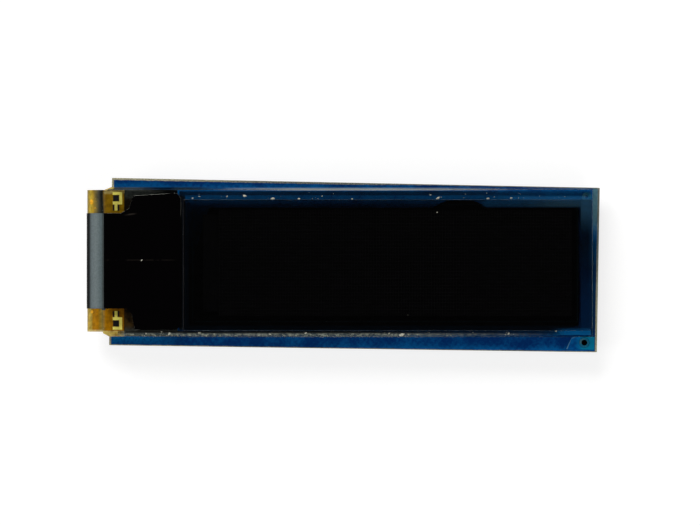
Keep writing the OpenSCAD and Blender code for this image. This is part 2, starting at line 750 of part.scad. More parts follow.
// A bead of solder joins each finger to its pad and wets round its sides.
module flex_solder() {
    bead_w = flex_pad_w;
    bead_r = (flex_solder_h * flex_solder_h + bead_w * bead_w / 4) / (2 * flex_solder_h);
    pad_z = board_back - copper_t;
    finger_z = board_back - film_t - trace_t;
    x1 = film_end + flex_pad_gap + trace_pitch / 4;
    bead_l = finger_l - flex_pad_gap - trace_pitch / 2;
    color("#c6c8ca") on_panel() for (i = [0:trace_count - 1]) difference() {
        translate([x1, trace_y(i), pad_z - flex_solder_h]) intersection() {
            translate([0, 0, bead_r]) rotate([0, 90, 0]) cylinder(h = bead_l, r = bead_r, $fn = small_fn);
            translate([0, -bead_w / 2, 0]) cube([bead_l, bead_w, flex_solder_h]);
        }
        translate([x1 - cut, trace_y(i) - trace_w / 2, finger_z]) cube([bead_l + 2 * cut, trace_w, trace_t]);
    }
}

// ---- Chip parts ----

// The metal cups on both ends of a part, hollow where they wrap its body.
module metal_ends(l, w, h) {
    for (side = [-1, 1]) difference() {
        translate([side * (l - end_l) / 2 - end_l / 2, -w / 2, 0]) cube([end_l, w, h]);
        translate([end_t - l / 2, end_t - w / 2, end_t]) cube([l - 2 * end_t, w - 2 * end_t, h - 2 * end_t]);
    }
}

module part_core(l, w, h) {
    translate([end_t - l / 2, end_t - w / 2, end_t]) cube([l - 2 * end_t, w - 2 * end_t, h - 2 * end_t]);
}

// Puts a part's lower side on the pads at a place on the board's back, hanging downwards.
module at_pads(place) {
    on_board() translate([place[0], place[1], board_back - copper_t]) mirror([0, 0, 1]) children();
}

module capacitor_bodies() {
    color("#b08a5c") {
        for (p = large_caps) at_pads(p) part_core(large_cap_l, large_cap_w, large_cap_h);
        for (p = small_caps) at_pads(p) part_core(small_part_l, small_part_w, small_cap_h);
    }
}

module capacitor_ends() {
    color("#c9c9c6") {
        for (p = large_caps) at_pads(p) metal_ends(large_cap_l, large_cap_w, large_cap_h);
        for (p = small_caps) at_pads(p) metal_ends(small_part_l, small_part_w, small_cap_h);
    }
}

module resistor_bodies() {
    color("#e6e3da") for (p = resistors) at_pads(p) part_core(small_part_l, small_part_w, resistor_h);
}

module resistor_ends() {
    color("#c9c9c6") for (p = resistors) at_pads(p) metal_ends(small_part_l, small_part_w, resistor_h);
}

module resistor_coats() {
    coat_l = small_part_l - 2 * end_l;
    coat_across = small_part_w - 2 * end_t;
    color("#141416") for (p = resistors) at_pads(p)
        translate([-coat_l / 2, -coat_across / 2, resistor_h - end_t])
            cube([coat_l, coat_across, resistor_coat_t]);
}

// The regulator's moulded body, drafted above and below the level at which the legs leave it.
module regulator_body() {
    body_h = regulator_h - regulator_gap;
    leg_z = regulator_gap + body_h / 2;
    module side_view(across) {
        half = across / 2;
        polygon([[body_draft - half, regulator_gap], [half - body_draft, regulator_gap],
            [half, leg_z - leg_t / 2], [half, leg_z + leg_t / 2], [half - body_draft, regulator_h],
            [body_draft - half, regulator_h], [-half, leg_z + leg_t / 2], [-half, leg_z - leg_t / 2]]);
    }
    color("#1b1b1d") at_pads([regulator_x, 0]) intersection() {
        rotate([90, 0, 0]) linear_extrude(regulator_l, center = true) side_view(regulator_w);
        rotate([90, 0, 90]) linear_extrude(regulator_w, center = true) side_view(regulator_l);
    }
}

// A gull-wing leg, from the body's side down to its foot on the pad.
module regulator_leg() {
    leg_z = regulator_gap + (regulator_h - regulator_gap) / 2;
    x1 = regulator_w / 2;
    x2 = leg_span / 2 - foot_l;
    rotate([90, 0, 0]) linear_extrude(leg_w, center = true) {
        translate([x1, leg_z - leg_t / 2]) square([x2 - x1, leg_t]);
        translate([x2 - leg_t, 0]) square([leg_t, leg_z + leg_t / 2]);
        translate([x2 - leg_t, 0]) square([foot_l + leg_t, leg_t]);
    }
}

module regulator_legs() {
    color("#c4c4c0") at_pads([regulator_x, 0]) {
        regulator_leg();
        for (side = [-1, 1]) translate([0, side * leg_pitch / 2, 0]) rotate([0, 0, 180]) regulator_leg();
    }
}

// A hollow-faced run of solder from a metal face down to its pad, of height h and width w.
module solder_fillet(h, w) {
    rise = min(h, pad_reach);
    rotate([90, 0, 0]) linear_extrude(w, center = true) difference() {
        square([rise, rise]);
        translate([rise, rise]) circle(rise, $fn = small_fn);
    }
}

module end_fillets(l, w, h) {
    for (turn = [0, 180]) rotate([0, 0, turn]) translate([l / 2, 0, 0]) solder_fillet(h * solder_climb, w);
}

module part_solder() {
    color("#bfc2c4") {
        for (p = large_caps) at_pads(p) end_fillets(large_cap_l, large_cap_w, large_cap_h);
        for (p = small_caps) at_pads(p) end_fillets(small_part_l, small_part_w, small_cap_h);
        for (p = resistors) at_pads(p) end_fillets(small_part_l, small_part_w, resistor_h);
        at_pads([regulator_x, 0]) {
            translate([leg_span / 2, 0, 0]) solder_fillet(leg_t, leg_w);
            for (y = [-leg_pitch / 2, leg_pitch / 2])
                rotate([0, 0, 180]) translate([leg_span / 2, y, 0]) solder_fillet(leg_t, leg_w);
        }
    }
}

circuit_board();
plated_vias();
front_copper();
back_tracks();
part_pads();
flex_pads();
wire_pads();
mounting_tape();
rear_glass();
edge_seal();
getter_sheet();
emitter_layers();
front_glass();
glass_marks();
polarizer();
ledge_tape();
driver_chip();
ledge_resin();
bond_films();
flex_film();
flex_traces();
flex_coat();
flex_marks();
flex_solder();
capacitor_bodies();
capacitor_ends();
resistor_bodies();
resistor_coats();
resistor_ends();
regulator_body();
regulator_legs();
part_solder();
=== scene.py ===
"""Small monochrome OLED display module: materials, fine wear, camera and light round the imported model."""
import math
import random

import bmesh
import bpy
from mathutils import Matrix, Vector


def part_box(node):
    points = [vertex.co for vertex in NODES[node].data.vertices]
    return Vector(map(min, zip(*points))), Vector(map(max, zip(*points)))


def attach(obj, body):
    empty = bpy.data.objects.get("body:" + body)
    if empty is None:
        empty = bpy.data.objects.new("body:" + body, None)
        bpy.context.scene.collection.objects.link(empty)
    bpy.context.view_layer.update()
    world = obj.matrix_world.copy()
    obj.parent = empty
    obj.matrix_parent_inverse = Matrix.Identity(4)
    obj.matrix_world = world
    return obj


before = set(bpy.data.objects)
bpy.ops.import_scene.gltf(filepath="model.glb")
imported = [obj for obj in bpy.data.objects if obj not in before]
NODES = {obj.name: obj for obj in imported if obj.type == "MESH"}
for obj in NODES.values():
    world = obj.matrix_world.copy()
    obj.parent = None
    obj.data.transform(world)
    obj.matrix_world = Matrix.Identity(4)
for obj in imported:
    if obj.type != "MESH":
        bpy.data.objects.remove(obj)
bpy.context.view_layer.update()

MM = 0.001

# The panel was stuck down askew: its middle in the frame, and its turn.
PANEL_TURN = math.radians(1.0)
GLASS_LOW, GLASS_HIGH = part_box("front_glass")
PANEL_MID = (GLASS_LOW + GLASS_HIGH) / 2

# The board's ends, its upper side and its two faces, in millimetres in the frame.
BOARD_LOW, BOARD_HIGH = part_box("circuit_board")
BOARD_LEFT, BOARD_RIGHT = BOARD_LOW.x / MM, BOARD_HIGH.x / MM
BOARD_SIDE = BOARD_HIGH.y / MM
BOARD_BACK, BOARD_FACE = BOARD_LOW.z / MM, BOARD_HIGH.z / MM


def turned_span(box_x, box_y):
    """Length and width of a flat rectangle, from the box that it has when turned by PANEL_TURN."""
    c, s = math.cos(PANEL_TURN), math.sin(PANEL_TURN)
    length = (box_x * c - box_y * s) / (c * c - s * s)
    width = (box_y * c - box_x * s) / (c * c - s * s)
    return length, width


# Half the glass's length and width, and the level of its front face, in millimetres.
HALF_L, HALF_W = (span / MM / 2 for span in turned_span(*(GLASS_HIGH - GLASS_LOW).xy))
GLASS_FRONT = GLASS_HIGH.z / MM


def to_panel(point):
    """X and Y in millimetres from the panel's middle, along the panel, of a point in the frame."""
    place = Matrix.Rotation(-PANEL_TURN, 3, "Z") @ (point - PANEL_MID)
    return place.x / MM, place.y / MM


def panel_rectangle(node):
    """(x1, x2, y1, y2) in millimetres on the panel, of a rectangular node that lies along it."""
    low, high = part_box(node)
    x, y = to_panel((low + high) / 2)
    length, width = turned_span(*(high - low).xy)
    return x - length / 2 / MM, x + length / 2 / MM, y - width / 2 / MM, y + width / 2 / MM


def on_panel(x, y, z):
    """The point in the frame at x and y from the panel's middle, along it, and at level z in millimetres."""
    place = Matrix.Rotation(PANEL_TURN, 3, "Z") @ Vector((x, y, 0)) * MM
    return Vector((PANEL_MID.x + place.x, PANEL_MID.y + place.y, z * MM))


# ---- Shader helpers ----


def srgb(red, green, blue):
    """A colour from its 0 to 255 screen values, as the linear values that a shader takes."""
    return tuple(
        c / 12.92 if c <= 0.04045 else ((c + 0.055) / 1.055) ** 2.4
        for c in (red / 255, green / 255, blue / 255)
    ) + (1.0,)


def neutral(level):
    """The neutral colour whose linear values are all level."""
    return (level, level, level, 1.0)


def toned(colour, factor):
    """The colour made darker or lighter by factor, at most white."""
    return tuple(min(1.0, c * factor) for c in colour[:3]) + (1.0,)


class Material:
    """A Principled material, and short calls that add nodes to it."""

    def __init__(self, name, **sockets):
        self.material = bpy.data.materials.new(name)
        self.material.use_nodes = True
        self.tree = self.material.node_tree
        self.shader = self.tree.nodes["Principled BSDF"]
        for socket, value in sockets.items():
            self.shader.inputs[socket.replace("_", " ")].default_value = value

    def node(self, kind, inputs=(), **settings):
        """Adds a node, with inputs by socket and settings by attribute."""
        made = self.tree.nodes.new(kind)
        for name, value in settings.items():
            setattr(made, name, value)
        for key, value in dict(inputs).items():
            self.put(made.inputs[key], value)
        return made

    def put(self, socket, value):
        """Links a node's output to the socket, or sets its plain value."""
        if isinstance(value, bpy.types.NodeSocket):
            self.tree.links.new(value, socket)
        else:
            socket.default_value = value

    def set(self, socket, value):
        self.put(self.shader.inputs[socket], value)

    def base(self):
        """What feeds the base colour so far."""
        return self.shader.inputs["Base Color"].links[0].from_socket

    def math(self, operation, a, b=0.0):
        return self.node("ShaderNodeMath", {0: a, 1: b}, operation=operation).outputs[0]

    def add(self, a, b):
        return self.math("ADD", a, b)

    def times(self, a, b):
        return self.math("MULTIPLY", a, b)

    def scaled(self, value, factor, start):
        """The value times factor, plus start."""
        return self.add(self.times(value, factor), start)

    def larger(self, a, b):
        return self.math("MAXIMUM", a, b)

    def step(self, value, low, high):
        """0 below low and 1 above high, with a smooth change between. High may be the lower number."""
        made = self.node(
            "ShaderNodeMapRange",
            {"Value": value, "From Min": low, "From Max": high},
            interpolation_type="SMOOTHSTEP",
        )
        return made.outputs[0]

    def linear(self, value, low, high):
        """0 at low and 1 at high, in a straight line between."""
        made = self.node("ShaderNodeMapRange", {"Value": value, "From Min": low, "From Max": high})
        return made.outputs[0]

    def window(self, value, low, high, soft):
        """1 between low and high, 0 outside, with edges as wide as soft."""
        rise = self.step(value, low - soft / 2, low + soft / 2)
        fall = self.step(value, high + soft / 2, high - soft / 2)
        return self.times(rise, fall)

    def place(self, turned=False):
        """X, Y and Z in millimetres: from the frame's origin, or with turned from the panel's middle."""
        point = self.node("ShaderNodeTexCoord").outputs["Object"]
        if turned:
            middle = (PANEL_MID.x, PANEL_MID.y, 0)
            shifted = self.node("ShaderNodeVectorMath", {0: point, 1: middle}, operation="SUBTRACT")
            turn = self.node(
                "ShaderNodeVectorRotate",
                {"Vector": shifted.outputs[0], "Angle": -PANEL_TURN},
                rotation_type="Z_AXIS",
            )
            point = turn.outputs[0]
        scaled = self.node("ShaderNodeVectorMath", {0: point, "Scale": 1 / MM}, operation="SCALE")
        split = self.node("ShaderNodeSeparateXYZ", {0: scaled.outputs[0]})
        return scaled.outputs[0], split.outputs[0], split.outputs[1], split.outputs[2]

    def stretched(self, point, x, y, z):
        """The point with its coordinates multiplied, which packs a pattern by as much along each axis."""
        made = self.node("ShaderNodeVectorMath", {0: point, 1: (x, y, z)}, operation="MULTIPLY")
        return made.outputs[0]

    def noise(self, point, scale, detail=3.0, roughness=0.55, seed=0.0):
        """Fractal noise round 0.5, with scale in waves per millimetre when the point is in millimetres."""
        made = self.node(
            "ShaderNodeTexNoise",
            {"Vector": point, "W": seed, "Scale": scale, "Detail": detail, "Roughness": roughness},
            noise_dimensions="4D",
        )
        return made.outputs[0]

    def ramp(self, factor, stops):
        """A colour ramp from (position, colour) pairs."""
        made = self.node("ShaderNodeValToRGB", {0: factor})
        band = made.color_ramp
        while len(band.elements) < len(stops):
            band.elements.new(0.5)
        for element, (position, colour) in zip(band.elements, stops):
            element.position = position
            element.color = colour
        return made.outputs[0]

    def levels(self, factor, stops):
        """A grey ramp from (position, level) pairs."""
        return self.ramp(factor, [(position, neutral(level)) for position, level in stops])

    def mix(self, factor, a, b):
        made = self.node("ShaderNodeMix", {0: factor, 6: a, 7: b}, data_type="RGBA")
        return made.outputs[2]

    def bump(self, height, depth_mm, strength=1.0):
        """Bump from a height between 0 and 1 that stands for depth_mm."""
        made = self.node(
            "ShaderNodeBump", {"Height": height, "Distance": depth_mm * MM, "Strength": strength}
        )
        self.set("Normal", made.outputs[0])

    def surface(self, fact):
        """A fact about the surface: its Normal, or whether it is Backfacing."""
        return self.node("ShaderNodeNewGeometry").outputs[fact]

    def outer_face(self):
        """0 where a ray leaves the body, so that a sheer body dims what is behind it only once."""
        return self.math("SUBTRACT", 1.0, self.surface("Backfacing"))

    def flatness(self):
        """1 on faces that look up or down, 0 on upright ones."""
        split = self.node("ShaderNodeSeparateXYZ", {0: self.surface("Normal")})
        return self.math("ABSOLUTE", split.outputs[2])


def wear(name, material):
    """Puts the material on a CAD node, in place of its packed ones."""
    slots = NODES[name].data.materials
    slots.clear()
    slots.append(material.material)


# ---- Board ----

# Bare laminate and the solder mask over it, each from dark to bright.
LAMINATE = srgb(84, 88, 82)
LAMINATE_PALE = srgb(140, 140, 128)
MASK_DEEP = srgb(0, 42, 98)
MASK_BRIGHT = srgb(4, 82, 140)
# Bare laminate at the board's two ends, in millimetres.
ROUTED_BORDER = 0.13
# How far each long side leans in, per millimetre of the board's length.
BOARD_TAPER = 0.085 / 28.3
# Pitches of the glass weave that shows faintly in the mask, in millimetres.
WEAVE_X, WEAVE_Y = 0.42, 0.46
# Length of the strip at the wire end where the mask turns teal and navy, in millimetres.
WIRE_STRIP = 0.42


def board_border(m, point, x, y):
    """1 where the solder mask was pulled back or chipped off along the board's outline."""
    left, right, blur = BOARD_LEFT + ROUTED_BORDER, BOARD_RIGHT - ROUTED_BORDER, 0.03
    ends = m.add(m.step(x, right, right + blur), m.step(x, left, left - blur))
    from_left = m.times(m.add(x, -BOARD_LEFT), BOARD_TAPER)
    to_side = m.math("SUBTRACT", m.math("ABSOLUTE", y), m.math("SUBTRACT", BOARD_SIDE, from_left))
    wide = m.scaled(m.times(m.step(y, 0.0, 1.0), m.step(x, 7.0, -1.0)), 0.07, 0.05)
    chipped = m.add(m.add(to_side, wide), m.times(m.noise(point, 3.0, seed=1.0), 0.06))
    return m.larger(ends, m.step(chipped, 0.015, 0.04))


def wave(m, value, pitch):
    """A sine of the value, which repeats at the pitch."""
    return m.math("SINE", m.times(value, 2 * math.pi / pitch))


def solder_mask():
    """The cloudy blue mask with painted sheen towards the glass and the lower rim and painted light by the
    flex, bare laminate at its border and glass fibre on the board's cut sides.
    """
    m = Material("blue_board", IOR=1.35)
    point, x, y, _ = m.place()
    weave = m.times(wave(m, x, WEAVE_X), wave(m, y, WEAVE_Y))
    cloud = m.noise(point, 0.9, seed=2.0)
    fine = m.noise(point, 9.0, detail=5.0)
    shade = m.add(m.add(m.times(cloud, 0.6), m.times(fine, 0.4)), m.times(weave, 0.03))
    # Painted sheen: the mask is drawn brighter towards the glass along the top and towards the rim along the
    # bottom.
    sheen_towards_glass = m.times(m.step(y, 4.8, 4.3), m.step(y, 0.0, 1.0))
    sheen_towards_rim = m.times(m.step(y, -4.3, -4.8), m.step(x, -4.0, 4.0))
    shade = m.add(shade, m.times(m.add(m.add(sheen_towards_glass, sheen_towards_rim), -0.5), 0.16))
    blue = m.mix(m.step(shade, 0.34, 0.66), MASK_DEEP, MASK_BRIGHT)
    # Painted light: the mask is drawn a brighter blue by the flex at the lower corner.
    painted_light_by_flex = m.times(m.step(x, -8.5, -12.0), m.times(m.step(y, -4.95, -4.4), m.step(y, 0.0, -1.0)))
    blue = m.mix(m.times(painted_light_by_flex, m.step(fine, 0.2, 0.6)), blue, srgb(4, 96, 156))
    fibre = m.noise(m.stretched(point, 2.0, 2.0, 26.0), 4.0, seed=5.0)
    cut_edge = m.mix(m.step(fibre, 0.35, 0.65), srgb(88, 92, 72), srgb(150, 148, 116))
    side_strip = m.step(x, BOARD_RIGHT - WIRE_STRIP, BOARD_RIGHT - WIRE_STRIP + 0.06)
    teal = m.mix(m.noise(point, 7.0, detail=5.0, seed=15.0), srgb(24, 66, 84), srgb(92, 130, 140))
    blue = m.mix(m.times(side_strip, m.step(y, 1.6, 3.2)), blue, teal)
    navy = m.times(side_strip, m.times(m.step(y, 2.6, 1.4), m.step(y, -4.2, -3.2)))
    blue = m.mix(m.times(navy, 0.7), blue, srgb(6, 30, 46))
    grain = m.step(m.noise(point, 14.0, seed=4.0), 0.4, 0.7)
    laminate = m.mix(grain, LAMINATE, LAMINATE_PALE)
    paler = m.add(m.step(x, -4.0, -11.0), m.times(m.step(x, 13.0, 14.0), m.step(y, 1.5, -2.0)))
    laminate = m.mix(m.times(paler, 0.75), laminate, m.mix(grain, srgb(150, 146, 118), srgb(212, 206, 172)))
    faced = m.mix(board_border(m, point, x, y), blue, laminate)
    m.set("Base Color", m.mix(m.step(m.flatness(), 0.4, 0.8), cut_edge, faced))
    m.set("Roughness", m.scaled(fine, 0.14, 0.12))
    m.bump(m.add(m.times(weave, 0.3), fine), 0.0025)
    return m


def masked_copper(name, dark, light):
    """Copper that shows as a paler blue through the solder mask."""
    m = Material(name, IOR=1.35)
    point = m.place()[0]
    cloud = m.noise(point, 2.6, detail=4.0, seed=6.0)
    m.set("Base Color", m.mix(m.step(cloud, 0.35, 0.65), dark, light))
    m.set("Roughness", m.scaled(cloud, 0.14, 0.14))
    m.bump(m.noise(point, 12.0), 0.002)
    return m


def corner_copper():
    """The copper area under the mask in the corner: a fine pale outline, and teal near the end."""
    m = masked_copper("masked_copper_front", srgb(0, 62, 122), srgb(2, 94, 158))
    point, x, y, _ = m.place()
    low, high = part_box("front_copper")
    share = m.linear(x, low.x / MM, high.x / MM)
    height = m.linear(y, low.y / MM, high.y / MM)
    cloud = m.noise(point, 3.0, detail=4.0, seed=7.0)
    teal = m.mix(cloud, srgb(2, 98, 132), srgb(6, 126, 164))
    near_end = m.step(m.add(share, m.times(cloud, 0.3)), 0.45, 0.85)
    colour = m.mix(near_end, m.base(), teal)
    bend = m.times(m.step(height, 0.74, 1.0), -0.14)
    from_end = m.add(m.add(share, m.times(height, -0.16)), bend)
    outline = m.times(m.window(from_end, 0.0, 0.05, 0.03), m.step(cloud, 0.3, 0.5))
    m.set("Base Color", m.mix(m.times(outline, 0.7), colour, srgb(88, 132, 156)))
    return m


def plated_metal(name, colour, low, high, metallic=0.75):
    """Plated pads and lands: brushed faintly one way, with dull patches."""
    m = Material(name, Metallic=metallic)
    point = m.place()[0]
    across, waves = 9.0, 30.0
    brushed = m.noise(m.stretched(point, 1.0, across, across), waves / across, detail=4.0)
    dull = m.noise(point, 2.2, seed=8.0)
    m.set("Base Color", m.mix(m.step(dull, 0.35, 0.7), colour, toned(colour, 0.72)))
    m.set("Roughness", m.add(m.times(m.add(brushed, dull), (high - low) / 2), low))
    m.bump(brushed, 0.002)
    return m


def via_lands():
    """Tinned lands, half covered by the solder mask, round dark barrels."""
    m = Material("tinned_via", Metallic=0.1)
    point, _, _, z = m.place()
    patches = m.noise(point, 2.4, seed=9.0)
    masked = m.times(m.step(patches, 0.4, 0.5), m.step(z, BOARD_FACE, BOARD_FACE + 0.02))
    tin = m.mix(m.noise(point, 9.0), srgb(4, 84, 112), srgb(84, 132, 142))
    barrel = m.step(z, BOARD_FACE + 0.02, BOARD_FACE - 0.1)
    inside = m.times(barrel, m.step(z, BOARD_BACK - 0.03, BOARD_BACK))
    colour = m.mix(masked, tin, srgb(2, 100, 132))
    m.set("Base Color", m.mix(inside, colour, srgb(8, 22, 34)))
    m.set("Roughness", m.scaled(patches, 0.3, 0.2))
    m.bump(patches, 0.01)
    return m


# ---- Display panel ----


def panel_scratch(m, point, x, y, start, end, level, width, lean=0.0):
    """A fine broken scratch along the panel, from start to end, at height level."""
    off = m.math("ABSOLUTE", m.math("SUBTRACT", m.math("SUBTRACT", y, level), m.times(x, lean)))
    line = m.step(off, width, width / 3)
    broken = m.step(m.noise(m.stretched(point, 1.0, 0.2, 0.2), 2.2, seed=start), 0.42, 0.6)
    return m.times(m.times(line, m.window(x, start, end, 0.4)), broken)


def upper_half(m, y):
    """0 along the panel's lower side and 1 along its upper one."""
    return m.step(y, -0.5, 0.5)


def along_glass(m, x):
    """0 at the flex end of the glass and 1 at its wire end."""
    return m.linear(x, -HALF_L, HALF_L)


def ground_glass(m, point):
    """The fine unevenness of a ground edge."""
    return m.noise(m.stretched(point, 3.0, 3.0, 8.0), 3.0, detail=4.0, seed=12.0)


def slant_gloss(m):
    """How much a face of glass reflects, which grows towards a slanting view."""
    return m.node("ShaderNodeFresnel", {"IOR": 1.5}).outputs[0]


def front_side(m, z, level):
    """1 on the front face at level, 0 below it, so that a sheet dims what is behind it only once."""
    return m.step(z, level - 0.04, level - 0.01)


def rear_glass():
    """Clear glass between other layers: only its ground edges and rims show."""
    m = Material("clear_glass_rear", IOR=1.5)
    point = m.place()[0]
    upright = m.step(m.flatness(), 0.97, 0.6)
    ground = ground_glass(m, point)
    frost = m.scaled(m.step(ground, 0.3, 0.7), 0.3, 0.15)
    m.set("Alpha", m.times(upright, m.times(m.larger(frost, slant_gloss(m)), 0.7)))
    m.set("Base Color", m.mix(ground, srgb(18, 58, 76), srgb(52, 94, 106)))
    m.set("Roughness", m.scaled(ground, 0.3, 0.15))
    return m


# How brightly the painted highlight on the upper arris and the lower arris of the front glass show, from the
# flex end to the wire end.
TOP_ARRIS_HIGHLIGHT = [(0.08, 0.02), (0.2, 0.12), (0.3, 0.48), (0.4, 0.92), (0.57, 0.98), (0.7, 0.58), (0.8, 0.22)]
TOP_ARRIS_HIGHLIGHT += [(0.85, 0.05), (0.94, 0.22)]
LOW_ARRIS = [(0.04, 0.16), (0.25, 0.22), (0.43, 0.3), (0.57, 0.24), (0.72, 0.14), (0.86, 0.06), (0.94, 0.02)]


def resin_tone(m, x):
    """The resin that has crept out along the upper glass edge: greyer at the flex, darker further on."""
    tone = m.mix(m.step(x, -12.6, -10.9), srgb(62, 65, 60), srgb(6, 9, 12))
    return m.mix(m.step(x, -10.25, -10.0), tone, srgb(30, 42, 46))


def front_glass():
    """The front glass, with worn ground edges and a painted highlight along its upper arris."""
    m = Material("clear_glass_front", IOR=1.5)
    point, x, y, z = m.place(turned=True)
    flat = m.flatness()
    upright = m.step(flat, 0.3, 0.1)
    arris = m.times(m.step(flat, 0.97, 0.93), m.step(flat, 0.1, 0.3))
    upper = upper_half(m, y)
    x1, x2, y1, y2 = panel_rectangle("polarizer")
    film = m.times(m.window(x, x1, x2, 0.01), m.window(y, y1, y2, 0.01))
    bare = m.times(m.math("SUBTRACT", 1.0, film), front_side(m, z, GLASS_FRONT))
    streaks = m.noise(m.stretched(point, 0.5, 2.4, 1.0), 1.3, detail=5.0, seed=11.0)
    hazy = m.times(m.step(streaks, 0.3, 0.75), m.scaled(m.step(x, x1 - 0.3, x1), 0.05, 0.03))
    veil = m.times(m.add(hazy, m.times(slant_gloss(m), 0.7)), bare)
    ground = ground_glass(m, point)
    rough_edge = m.times(upright, m.scaled(m.step(ground, 0.3, 0.7), 0.3, 0.12))
    share = along_glass(m, x)
    chips = m.scaled(m.step(m.noise(point, 4.0, detail=6.0, seed=14.0), 0.3, 0.66), 0.9, 0.3)
    along = m.mix(upper, m.times(m.levels(share, LOW_ARRIS), chips), m.levels(share, TOP_ARRIS_HIGHLIGHT))
    ends = m.step(m.math("ABSOLUTE", x), HALF_L - 0.3, HALF_L - 0.2)
    end_level = m.scaled(m.times(m.step(y, 1.2, 2.8), m.step(x, -1.0, 1.0)), 0.3, 0.05)
    level = m.mix(ends, along, end_level)
    wetted = m.times(m.step(x, -7.0, -9.7), m.step(y, 4.15, 4.26))
    far_end = m.times(m.step(x, 8.0, 12.0), m.step(y, 0.0, 1.0))
    level = m.times(level, m.scaled(far_end, -0.4, 1.0))
    level = m.times(level, m.scaled(m.step(x, -1.5, -6.5), -0.5, 1.0))
    level = m.larger(level, m.times(wetted, 0.9))
    m.set("Alpha", m.larger(veil, m.larger(rough_edge, m.times(arris, level))))
    low_tone = m.mix(m.step(x, 3.0, 8.0), srgb(98, 112, 106), srgb(24, 84, 108))
    # Painted highlight: the upper arris is drawn near white, dimmer and bluish towards the wire end.
    edge_colour = m.mix(upper, low_tone, srgb(154, 153, 147))
    edge_colour = m.mix(ends, edge_colour, srgb(60, 116, 134))
    edge_colour = m.mix(far_end, edge_colour, srgb(44, 104, 148))
    edge_colour = m.mix(m.step(wetted, 0.0, 0.15), edge_colour, resin_tone(m, x))
    film_tint = m.mix(m.step(x, x1 - 0.1, x1 + 0.1), srgb(34, 38, 40), srgb(18, 62, 96))
    m.set("Base Color", m.mix(m.larger(upright, arris), film_tint, edge_colour))
    coated = m.times(arris, m.times(m.step(x, -3.0, -7.0), m.step(y, 0.0, 1.0)))
    m.set("Specular IOR Level", m.scaled(coated, -0.44, 0.5))
    dull = m.larger(m.larger(upright, wetted), m.times(ends, arris))
    m.set("Roughness", m.scaled(dull, 0.4, 0.04))
    return m


def edge_seal():
    """The thin bead of sealing resin between the glasses, dark along its outer edge at the top."""
    m = Material("seal_resin", Specular_IOR_Level=0.1)
    point, x, y, z = m.place(turned=True)
    y2 = panel_rectangle("edge_seal")[3]
    cloud = m.noise(point, 2.0, detail=4.0, seed=13.0)
    outer = m.step(y, y2 - 0.3, y2 - 0.2)
    lower = m.step(y, -y2 + 0.45, -y2 + 0.3)
    wire_end = m.times(lower, m.step(x, 11.6, 12.8))
    inside = m.times(m.step(y, 1.2, 3.4), m.step(y, y2 - 0.22, y2 - 0.38))
    lit_end = m.times(inside, m.step(x, 7.4, 11.0))
    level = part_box("edge_seal")[1].z / MM
    outer_level = m.scaled(m.step(x, 6.0, 12.0), -0.52, 0.68)
    body = m.add(m.times(outer, outer_level), m.scaled(cloud, 0.12, 0.06))
    body = m.add(body, m.add(m.times(wire_end, 0.6), m.times(lit_end, 0.22)))
    flex_side = m.times(m.step(x, -9.35, -9.5), m.window(y, -3.9, 4.0, 0.3))
    body = m.larger(body, m.times(flex_side, 0.97))
    m.set("Alpha", m.times(body, m.larger(front_side(m, z, level), m.step(m.flatness(), 0.6, 0.4))))
    upper = m.mix(lit_end, m.mix(cloud, srgb(8, 44, 72), srgb(22, 64, 92)), srgb(40, 112, 168))
    upper = m.mix(outer, upper, srgb(2, 14, 32))
    upper = m.mix(flex_side, upper, srgb(3, 3, 5))
    m.set("Base Color", m.mix(wire_end, upper, m.mix(cloud, srgb(0, 84, 144), srgb(0, 112, 176))))
    m.set("Roughness", m.scaled(cloud, 0.2, 0.25))
    return m


# Width of the hazy strip at the film's wire end, in millimetres.
HAZE_WIDTH = 0.72


def polarizer():
    """Dark film that lets about two fifths of the light through each way."""
    m = Material("polarizer_film", IOR=1.49)
    point, x, y, z = m.place(turned=True)
    flat = m.flatness()
    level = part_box("polarizer")[1].z / MM
    scuff = m.noise(m.stretched(point, 1.0, 5.0, 1.0), 1.1, detail=6.0, seed=21.0)
    hairs = m.step(m.noise(m.stretched(point, 0.6, 14.0, 1.0), 2.3, seed=22.0), 0.66, 0.74)
    film = m.mix(m.step(scuff, 0.4, 0.8), srgb(1, 1, 1), srgb(3, 3, 4))
    _, x2, _, y2 = panel_rectangle("polarizer")
    streak = m.scaled(m.noise(m.stretched(point, 0.4, 3.0, 1.0), 1.5, detail=4.0, seed=24.0), 0.8, 0.6)
    wire_side = m.step(x, x2 - HAZE_WIDTH, x2 - HAZE_WIDTH + 0.06)
    in_height = m.times(m.step(y, y2 - 0.5, y2 - 0.36), m.step(y, y2 + 0.1, y2 - 0.1))
    upper = m.times(m.step(x, 7.7, 8.1), in_height)
    beside = m.times(wire_side, m.step(y, 1.6, y2 - 0.3))
    haze = m.math("MINIMUM", m.add(upper, beside), 1.0)
    haze_tone = m.mix(m.step(x, 9.5, 12.5), srgb(8, 32, 50), srgb(26, 46, 56))
    film = m.mix(m.times(haze, streak), film, haze_tone)
    below = m.times(wire_side, m.step(y, 1.0, -3.0))
    film = m.mix(m.times(below, 0.8), film, srgb(2, 24, 52))
    edge = m.mix(m.step(m.noise(point, 3.0, seed=23.0), 0.35, 0.65), srgb(16, 34, 50), srgb(86, 106, 114))
    edge = m.mix(m.step(x, -7.5, -3.0), edge, srgb(34, 54, 68))
    cut = m.step(flat, 0.97, 0.8)
    wire_end = m.step(x, 12.0, 14.0)
    edge = m.mix(wire_end, edge, srgb(4, 46, 64))
    edge = m.mix(m.step(x, -9.0, -9.4), edge, srgb(52, 52, 58))
    clear = m.scaled(wire_end, -0.45, 0.7)
    m.set("Alpha", m.larger(m.times(front_side(m, z, level), 0.62), m.times(cut, clear)))
    m.set("Base Color", m.mix(cut, film, edge))
    m.set("Roughness", m.add(m.scaled(scuff, 0.1, 0.05), m.times(hairs, 0.12)))
    m.bump(m.add(scuff, m.times(hairs, 0.4)), 0.001, 0.3)
    return m


